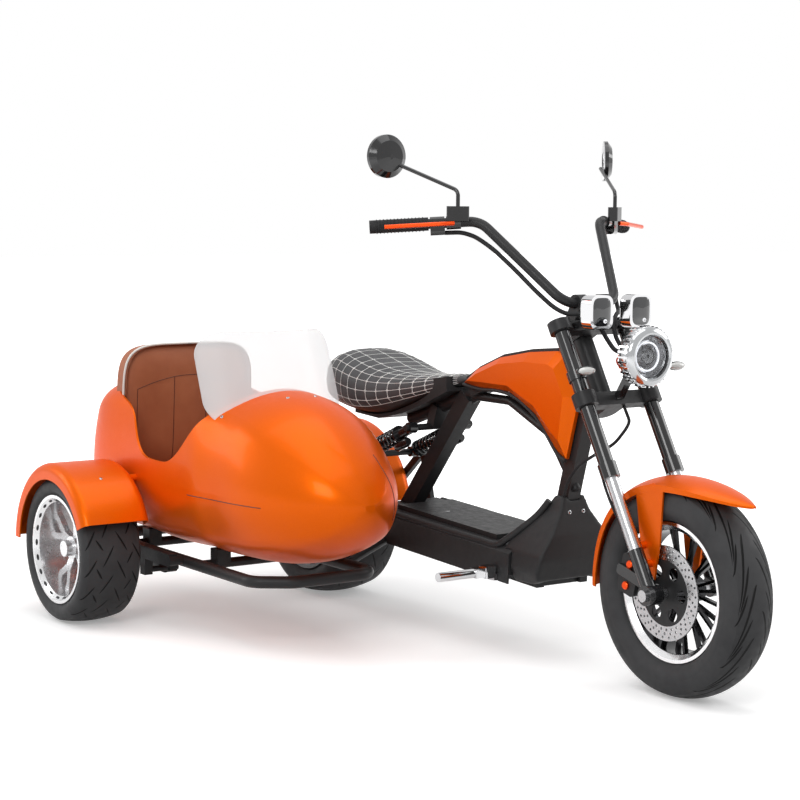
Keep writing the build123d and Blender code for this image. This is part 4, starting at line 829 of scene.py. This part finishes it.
grow(saddle_thread, stitch_group, Spacing=0.0046, Length=0.0040, Thickness=0.0012, Finish=thread_white)
keep(saddle_thread, "root", thread_white, "saddle_leather")

cross_spots = []
for row in range(PATCH, ROWS - 1, PATCH):
    for off in range(-SEAM_LIMIT + PATCH, SEAM_LIMIT - PATCH + 1, PATCH):
        index = row * ROUND + off % ROUND
        along = surface[index + ROUND] - surface[index - ROUND]
        cross_spots.append((surface[index] + normals[index] * CROSS_LIFT, normals[index], along.normalized()))
bars = [pipe("bar", [way * -CROSS_HALF, way * CROSS_HALF], 1.1, sides=5) for way in (FORWARDS, LEFT)]
crosses = copies("saddle_crosses", joined("cross", bars), cross_spots, thread_white)
keep(crosses, "root", thread_white, "saddle_leather")
print("stitched", len(saddle_thread.data.polygons) // 6, "stitches", len(cross_spots), "crosses")

# %% [markdown]
# ## Sidecar cushions
# Each cushion is a rounded box on a grid, crowned in the middle. The points near the seams on its front are
# pinned, and cloth pressure swells the leather between them. A thin dark line lies in the seams of the back,
# and white piping runs round its edge.

# %% Sidecar cushions
def cushion(name, centre, across, up, through, power, seams, node):
    """Crowned cushion: a squashed sphere grid turned so that its front faces `through`.

    across, up and through are half-size vectors in metres; seams(u, v) is true on a seam, with u and v
    from -1 to 1 over the front."""
    count = 56
    points, faces, pinned = [], [], []
    index = {}

    def corner(*key):
        if key not in index:
            u, v, w = (2 * t / count - 1 for t in key)
            length = (abs(u) ** power + abs(v) ** power) ** (1 / power)
            reach = max(abs(u), abs(v))
            pull = reach / length if length else 1
            depth = 1 - reach ** 6 * 0.5 if abs(w) == 1 else 1
            index[key] = len(points)
            points.append(centre + across * u * pull + up * v * pull + through * w * depth)
            if w == 1 and seams(u, v) or w == -1 or reach > 0.985:
                pinned.append(index[key])
        return index[key]

    thick = count // 6 * 2
    for a in range(count):
        for b in range(count):
            for c in (0, count):
                faces.append([corner(a, b, c), corner(a + 1, b, c), corner(a + 1, b + 1, c),
                              corner(a, b + 1, c)])
    for a in range(count):
        for c in range(0, count, thick):
            d = min(c + thick, count)
            for b in (0, count):
                faces.append([corner(a, b, c), corner(a + 1, b, c), corner(a + 1, b, d), corner(a, b, d)])
                faces.append([corner(b, a, c), corner(b, a + 1, c), corner(b, a + 1, d), corner(b, a, d)])
    obj = mesh_object(name, points, faces)
    swell(obj, pinned, CUSHION_CAP)
    keep(obj, "root", tan_leather, "brown_leather", node)
    return obj


SEAM_HALF, EDGE_SEAM, BACK_SEAM, BASE_SEAM = 0.02, 0.80, 0.25, 0.28


def arch(u):
    """Height of the seat back's arch, as a share of its half height."""
    return 0.50 - 0.30 * u * u


def back_seams(u, v):
    """Arch over three channels on the seat back."""
    if abs(v - arch(u)) < SEAM_HALF and abs(u) < EDGE_SEAM:
        return True
    return v < arch(u) and min(abs(abs(u) - BACK_SEAM), abs(abs(u) - EDGE_SEAM)) < SEAM_HALF


def base_seams(u, v):
    """Channels of the seat base."""
    return min(abs(abs(u) - BASE_SEAM), abs(abs(u) - EDGE_SEAM)) < SEAM_HALF


def middle_and_half(node):
    """Middle and half size of a CAD node."""
    low, high = [Vector(corner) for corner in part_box(node)]
    return (low + high) / 2, (high - low) / 2


middle, half = middle_and_half("sidecar_seat_back")
seat_back = cushion("seat_back_cushion", middle, LEFT * (half.y - 0.004),
                    UP * (half.z - 0.004) + FORWARDS * 0.010, FORWARDS * 0.040, 5.0, back_seams,
                    "sidecar_seat_back")
base_middle, base_half = middle_and_half("sidecar_seat_base")
seat_base = cushion("seat_base_cushion", base_middle, LEFT * (base_half.y - 0.006),
                    FORWARDS * (base_half.x - 0.006), UP * (base_half.z - 0.012), 7.0, base_seams,
                    "sidecar_seat_base")
seam_paths = [[(u, arch(u)) for u in [number / 20 * EDGE_SEAM for number in range(-20, 21)]]]
seam_paths += [[(u, arch(u) - 1.35 * number / 20) for number in range(21)]
               for u in (-EDGE_SEAM, -BACK_SEAM, BACK_SEAM, EDGE_SEAM)]
seams = []
for path in seam_paths:
    spots = [middle + LEFT * (half.y * u) + UP * (half.z * v) for u, v in path]
    seams.append(pipe("seam", on_skin(seat_back, spots, lambda point: -FORWARDS), 1.0, sides=6))
seam_brown = finish("seam_brown", (0.06, 0.014, 0.006), 0.6)
keep(joined("seat_seams", seams), "root", seam_brown, "brown_leather")
ring = []
for number in range(72):
    y, z = superellipse(2 * math.pi * number / 72, half.y - 0.002, half.z - 0.002, 5.0)
    ring.append(middle + LEFT * y + UP * z + FORWARDS * (0.024 + 0.010 * z / half.z))
piping_white = finish("piping_white", (0.78, 0.76, 0.72), 0.5)
keep(pipe("seat_piping", ring, 3.5, closed=True), "root", piping_white, "brown_leather")
print("cushions", len(seat_back.data.vertices), len(seat_base.data.vertices))

# %% [markdown]
# ## Front brake disc
# The disc is a ring with three rows of holes, and the black carrier inside it has six large ones. One
# Geometry Nodes group cuts both: it lays the holes out by their number, so the same group serves with other
# numbers, and takes them out with one exact Boolean.

# %% Drilled rings
ring_group, given, result = geometry_group("drilled ring", [
    *numbers(Outer=0.1, Inner=0.05, Thickness=0.004), ("Holes", "Int", 24), ("Rows", "Int", 3),
    *numbers(First=0.08, Step=0.01, Twist=0.09, Hole=0.003)])
tree = ring_group
calc = calculator(tree)
CUT_DEPTH = 0.05


def cylinder(sides, radius, depth):
    """A cylinder's mesh socket."""
    return step(tree, "GeometryNodeMeshCylinder", Vertices=sides, Radius=radius, Depth=depth).outputs["Mesh"]


plate = cylinder(96, given["Outer"], given["Thickness"])
bore = cylinder(96, given["Inner"], CUT_DEPTH)
drill = cylinder(12, given["Hole"], CUT_DEPTH)
number = tree.nodes.new("GeometryNodeInputIndex").outputs[0]
row = calc("FLOOR", calc("DIVIDE", number, given["Holes"]))
angle = calc("ADD", calc("DIVIDE", calc("MULTIPLY", number, 2 * math.pi), given["Holes"]),
             calc("MULTIPLY", row, given["Twist"]))
radius = calc("MULTIPLY_ADD", row, given["Step"], given["First"])
spot = step(tree, "ShaderNodeCombineXYZ", X=calc("MULTIPLY", radius, calc("COSINE", angle)),
            Y=calc("MULTIPLY", radius, calc("SINE", angle)))
dots = step(tree, "GeometryNodePoints", Count=calc("MULTIPLY", given["Holes"], given["Rows"]),
            Position=spot.outputs[0])
cut = step(tree, "GeometryNodeMeshBoolean", {"operation": "DIFFERENCE"}, Mesh_1=plate, Mesh_2=bore)
tree.links.new(on_points(tree, dots.outputs[0], drill), cut.inputs["Mesh 2"])
paint_and_end(tree, cut.outputs["Mesh"])

DISC_AT = at(1530, -57, 252)
disc = grow(empty_mesh("brake_disc"), ring_group, Outer=0.112, Inner=0.078, Thickness=0.004, Holes=30, Rows=3,
            First=0.0855, Step=0.0095, Twist=0.07, Hole=0.0031, Finish=brushed_steel)
keep(placed(disc, DISC_AT, LEFT), "front_wheel", brushed_steel, "steel", "front_disc")
carrier = grow(empty_mesh("disc_carrier"), ring_group, Outer=0.0795, Inner=0.009, Thickness=0.003, Holes=6,
               Rows=1, First=0.055, Step=0.0, Twist=0.0, Hole=0.016, Finish=powder_black)
keep(placed(carrier, DISC_AT, LEFT), "front_wheel", powder_black, "steel", "front_disc")
boss = turned("disc_boss", [(9, 1.5), (30, 1.5), (30, 11), (9, 11)], DISC_AT, LEFT)
keep(boss, "front_wheel", powder_black, "steel", "front_disc")
print("disc faces", len(disc.data.polygons))

# %% [markdown]
# ## Rims
# The front rim has a polished lip around black spokes: the distance from the axle picks the finish. The
# sidecar's rim has slots in the ring that holds its tyre's bead; they are not cut, and black pieces in their
# places are painted shade.

# %% Rim finishes and slots
LIP_RADIUS = 0.147              # metres; the front rim is polished outside it
rim_two_tone = finish("rim_two_tone", (0.5, 0.5, 0.5), 0.2, metal=1.0)
tree, shader = inside(rim_two_tone)
centred, half = about_axle(tree, "front_rim")
flat = step(tree, "ShaderNodeVectorMath", {"operation": "MULTIPLY"}, Vector=centred)
flat.inputs[1].default_value = (1, 0, 1)
reach = step(tree, "ShaderNodeVectorMath", {"operation": "LENGTH"}, Vector=flat.outputs[0])
outside = calculator(tree)("GREATER_THAN", reach.outputs["Value"], LIP_RADIUS)
two_tone = blend_colour(tree, outside, (0.035, 0.035, 0.037), (0.80, 0.80, 0.81))
tree.links.new(two_tone, shader.inputs["Base Color"])
dress("front_rim", rim_two_tone)
# painted shade: the slots are not cut; black pieces lie in their places and stand for the shade inside them
slot_spots = [(at(0, -807 - 74.2, 202) + spoke * 0.1335, (spoke * -0.7 - LEFT * 0.7).normalized(),
               LEFT.cross(spoke)) for spoke in circle(20, FORWARDS, UP)]
slot_cut = turned("slot_cut", [(0, 1.2), (3.4, 1.2), (3.4, -2), (0, -2)], Vector(), UP, steps=10)
slot_cut.data.transform(Matrix.Diagonal((2.6, 1, 1, 1)))
keep(copies("rim_slots", slot_cut, slot_spots, moulded_black), "sidecar_wheel", moulded_black, "polished_alloy")
print("rim slots", len(slot_spots))

# %% [markdown]
# ## Rear shocks
# Each shock is a damper with a coil spring round it, an eye at each end and a small gas bottle beside its
# top. The coil comes from the spring group with its own number of turns.

# %% Shocks
parts = []
for side in (-1, 1):
    low, top = at(296, side * 90, 440), at(543, side * 90, 543)
    run = (top - low).normalized()
    spring = grow(empty_mesh("spring"), coil_group, Turns=10.0, Radius=0.020, Height=0.170, Wire=0.0038,
                  Finish=gloss_black)
    parts.append(placed(spring, low + run * 0.034, run))
    parts.append(turned("damper", [(0, 12), (9, 12), (9, 200), (15, 200), (15, 255), (0, 255)], low, run, 20))
    for along in (28, 204):
        parts.append(turned("seat", [(8, along), (24, along), (24, along + 6), (8, along + 6)], low, run, 24))
    for spot in (low, top):
        parts.append(turned("eye", [(9, -12), (15, -12), (15, 12), (9, 12)], spot, LEFT, 20))
    bottle = top - run * 0.085 + run.cross(LEFT) * -0.030
    parts.append(turned("bottle", [(0, 0), (11, 0), (13, 4), (13, 52), (10, 58), (0, 58)], bottle, run, 20))
dressed_shocks = joined("rear_shocks_dressed", parts)
keep(dressed_shocks, "root", gloss_black, "black_frame", "rear_shocks")
print("shock faces", len(dressed_shocks.data.polygons))

# %% [markdown]
# ## Headlight and lamps
# Behind the clear face sit a dark bowl, a ring of light and a projector lens. A ribbed smoky ring surrounds
# them. The two pods above have black glass faces with one small white lamp each, and the turn signals are
# black ovals with a pale lens in front.

# %% Headlight
LAMP_AT = at(1396, 0, 792)
smoked_clear = finish("smoked_clear", (0.42, 0.43, 0.44), 0.12, metal=0.9, coat=1.0, spread=0.06, grain=90.0)
white_glow = finish("white_glow", (0.9, 0.92, 0.95), 0.3, Emission_Color=(0.95, 0.97, 1.0, 1),
                    Emission_Strength=0.35)
dark_glass = finish("dark_glass", (0.012, 0.013, 0.016), 0.06, coat=1.0, spread=0.02)
LAMP_RINGS = [
    # name, finish, slot, steps, outline of (radius, distance ahead)
    ("lamp_bezel", smoked_clear, "chrome", 64, [(51, 2), (53, 8), (58, 10), (66, 7), (71, 1), (72, -6),
                                                (71, -30), (66, -37), (58, -37), (56, -10)]),
    ("lamp_bowl", cast_dark, "chrome", 48, [(48, -11.5), (40, -20), (30, -26), (20, -15), (19, -30), (0, -34)]),
    ("lamp_halo", white_glow, "lamp_glass", 48, [(31, -13), (35, -12), (36, -16), (32, -18)]),
    ("lamp_projector", dark_glass, "lamp_glass", 32, [(17, -14), (16, -12.5), (12, -12), (8, -11.8),
                                                      (0, -11.5)]),
]
for name, made, slot, steps, outline in LAMP_RINGS:
    keep(turned(name, outline, LAMP_AT, FORWARDS, steps), "steering", made, slot)
rib_spots = [(LAMP_AT + spoke * 0.0705 - FORWARDS * 0.016, spoke, FORWARDS) for spoke in circle(36, LEFT, UP)]
rib = mesh_object("rib", [(x, y, z) for x in (-0.016, 0.016) for y in (-0.0022, 0.0022)
                          for z in (-0.003, 0.0035)],
                  [(0, 1, 3, 2), (4, 6, 7, 5), (0, 4, 5, 1), (2, 3, 7, 6), (0, 2, 6, 4), (1, 5, 7, 3)])
keep(copies("lamp_ribs", rib, rib_spots, chrome), "steering", chrome, "chrome")
lead = pipe("lamp_lead", smooth_path([at(1330, -34, 762), at(1348, -62, 782), at(1372, -66, 806),
                                      at(1384, -52, 820)]), 2.2)
keep(lead, "steering", orange_anodised, "grip_rubber")
print("headlight ready")


# %% Lamp pods and turn signals
def rounded_plate(name, middle, half_y, half_z, crown):
    """Slightly domed plate with rounded corners that faces forwards."""
    points, rings, around = [], 6, 32
    for ring in range(rings + 1):
        share = 1 - ring / rings
        for number in range(around):
            y, z = superellipse(2 * math.pi * number / around, half_y * share, half_z * share, 4.0)
            points.append(middle + (LEFT * y + UP * z + FORWARDS * crown * (1 - share ** 3)) / 1000)
    return mesh_object(name, points, quads(rings + 1, around))


def oval(name, middle, radii, forwards):
    """Front or back half of an oval body."""
    points, rings, around = [], 8, 24
    for ring in range(rings + 1):
        tilt = math.pi / 2 * ring / rings
        for spoke in circle(around, LEFT * radii[1], UP * radii[2]):
            out = FORWARDS * forwards * radii[0] * math.sin(tilt) + spoke * math.cos(tilt)
            points.append(middle + out / 1000)
    return mesh_object(name, points, quads(rings + 1, around))


faces_of_pods, leds, lenses, housings = [], [], [], []
for side in (-1, 1):
    faces_of_pods.append(rounded_plate("pod_face", at(1290.2, side * 62, 894), 29.5, 36.5, 5))
    leds.append(turned("pod_led", [(5.5, 0), (4.5, 2.4), (0, 3)], at(1294, side * 62 + 8, 872), FORWARDS, 20))
    lenses.append(oval("signal_lens", at(1334, side * 143, 760), (13, 25, 9.5), 1))
    for reach, forwards in ((16, -1), (3, 1)):
        housings.append(oval("signal_housing", at(1333, side * 143, 760), (reach, 28.5, 11.4), forwards))
    leg = on_fork(50, side * 101.5, 82)
    stalk = [at(1333, side * 132, 760), on_fork(66, side * 101.5, 82)]
    housings.append(pipe("signal_stalk", stalk, 5.5, sides=12))
    housings.append(turned("signal_clip", [(19.1, -12), (23, -12), (23, 12), (19.1, 12)], leg, FORK_ALONG, 32))
pale_lens = finish("pale_lens", (0.62, 0.62, 0.60), 0.12, coat=1.0, spread=0.04, grain=300.0)
keep(joined("pod_faces", faces_of_pods), "steering", dark_glass, "chrome")
keep(joined("pod_leds", leds), "steering", white_glow, "lamp_glass")
keep(joined("signal_lenses", lenses), "steering", pale_lens, "lamp_glass", "turn_signals")
keep(joined("signal_housings", housings), "steering", gloss_black, "gloss_black", "turn_signals")
print("lamps ready")

# %% [markdown]
# ## Fasteners and small trim
# Button-head screws hold the cowl, mudguards and front cover; their places were read from the photograph.
# The caliper has two orange caps. Every group of like pieces is one object made by the copies group.

# %% Screws, caps and grip ribs
def button(radius, height):
    """Round screw head with a socket, drawn about Z."""
    return turned("screw", [(radius * 0.42, height * 0.4), (radius * 0.46, height),
                            (radius * 0.8, height * 0.8), (radius, 0), (radius, -2)], Vector(), UP, steps=16)


def facing(x, y, z):
    """Unit direction with a matching direction across it."""
    out = Vector((x, y, z)).normalized()
    return out, axes_for(out)[0]


BODY_SCREWS = [
    (at(459, -630, 594), *facing(0.19, -0.69, 0.70)), (at(559, -492, 645), *facing(0.15, -0.17, 0.97)),
    (at(559, -408, 645), *facing(0.15, 0.17, 0.97)), (at(459, -270, 594), *facing(0.19, 0.69, 0.70)),
    (at(120, -809, 404.5), *facing(0.51, 0, 0.86)), (at(-120, -809, 404.5), *facing(-0.51, 0, 0.86)),
]
COVER_SCREWS = [(at(1134.5, side * 22, 386), *facing(0.96, 0, 0.26)) for side in (-1, 1)]
FENDER_SCREWS = [(at(x, side * 71.5, z), *facing(0, side, 0)) for side in (-1, 1)
                 for x, z in ((1470, 356), (1490, 318))]
CAPS = [(at(1424 + 7 * side, -79, 280 + 26 * side), *facing(0, -1, 0)) for side in (-1, 1)]
cap = turned("cap", [(0, 6), (8, 6), (10, 4), (10, -1), (0, -1)], Vector(), UP, steps=20)
grip_rib = turned("grip_rib", [(16.2, -1.6), (17.9, -0.8), (17.9, 0.8), (16.2, 1.6)], Vector(), UP, steps=24)
rib_spots = []
for side in (-1, 1):
    bar_high, bar_end = at(974, side * 192, 1106), at(820, side * 410, 1089)
    run = (bar_end - bar_high).normalized()
    rib_spots += [(bar_end - run * (0.012 + 0.0088 * number), run, axes_for(run)[0]) for number in range(14)]
for name, piece, spots, body, made, slot in (
        ("body_screws", button(5, 2.6), BODY_SCREWS, "root", brushed_steel, "steel"),
        ("cover_screws", button(6, 3), COVER_SCREWS, "root", brushed_steel, "steel"),
        ("fender_screws", button(6.5, 3.5), FENDER_SCREWS, "steering", gloss_black, "steel"),
        ("caliper_caps", cap, CAPS, "steering", orange_anodised, "orange_anodised"),
        ("grip_ribs", grip_rib, rib_spots, "steering", soft_rubber, "grip_rubber")):
    keep(copies(name, piece, spots, made), body, made, slot)
glasses = []
for side, heading in ((-1, -2.0), (1, 55.0)):
    rearwards = Vector((-math.cos(math.radians(heading)), -math.sin(math.radians(heading)), 0))
    glasses.append(turned("glass", [(50.5, 0), (49, 0.8), (0, 0.8)],
                          at(806, side * 357, 1264) + rearwards * 0.0081, rearwards, 40))
keep(joined("mirror_glasses", glasses), "steering", chrome, "gloss_black")
print("small parts ready")

# %% [markdown]
# The tub has a joint line along its side and one that runs up its nose. Both are fine dark lines on the CAD
# surface: rays from outside, towards the tub's middle, find their places.

# %% Joints of the tub, panel edging and footboard rim
TUB_MIDDLE = at(500, -450, 384)
SIDE_JOINT = [(374, -686, 384), (481, -677, 385), (613, -660, 386), (680, -644, 386)]
NOSE_JOINT = [(800, -380, 520), (838, -366, 470), (858, -352, 420), (862, -345, 384), (850, -345, 350)]
EDGE = [(706, 672), (780, 665), (860, 667), (930, 655), (1010, 615), (1060, 570), (1100, 530), (1132, 516)]
RIM_PATH = [(400, 119, 310), (560, 119, 303), (760, 119, 294), (900, 117, 288), (960, 116, 287),
            (992, 108, 305), (1022, 90, 332), (1056, 62, 370), (1082, 44, 410)]
joint_dark = finish("joint_dark", (0.10, 0.012, 0.001), 0.5)
joints = []
for table in (SIDE_JOINT, NOSE_JOINT):
    path = smooth_path([at(*row) for row in table], steps=16)
    path = on_skin(nodes["sidecar_tub"], path, lambda point: (TUB_MIDDLE - point).normalized())
    joints.append(pipe("joint", path, 1.3, sides=6))
keep(joined("tub_joints", joints), "root", joint_dark, "orange_paint")
edging = [pipe("edging", smooth_path([at(x, side * 36, z) for x, z in EDGE]), 5, sides=10) for side in (-1, 1)]
keep(joined("panel_edging", edging), "root", moulded_black, "dark_plastic")
rims = [pipe("rim", smooth_path([at(x, side * y, z) for x, y, z in RIM_PATH]), 9, sides=14) for side in (-1, 1)]
keep(joined("footboard_rim", rims), "root", moulded_black, "dark_plastic")
lock = turned("lid_lock", [(0, 0.8), (10, 0.8), (12, 0)], at(620, -27, 319.6), UP, 24)
keep(lock, "battery_lid", gloss_black, "dark_plastic")
print("trim ready")

# %% [markdown]
# ## Front cover
# The moulded cover has soft edges. A copy of the CAD shape is remeshed and its corners are relaxed, which
# rounds them all alike.

# %% Soft-edged copy
mesh = nodes["front_cover"].data.copy()
mesh.transform(nodes["front_cover"].matrix_world)
tidy(mesh)
cover = linked("front_cover_soft", mesh)
remesh = cover.modifiers.new("remesh", "REMESH")
remesh.mode = "VOXEL"
remesh.voxel_size = 0.004
relax = cover.modifiers.new("relax", "SMOOTH")
relax.factor = 0.5
relax.iterations = 10
baked(cover)
for face in cover.data.polygons:
    face.use_smooth = True
keep(cover, "root", moulded_black, "dark_plastic", "front_cover")
print("cover faces", len(cover.data.polygons))
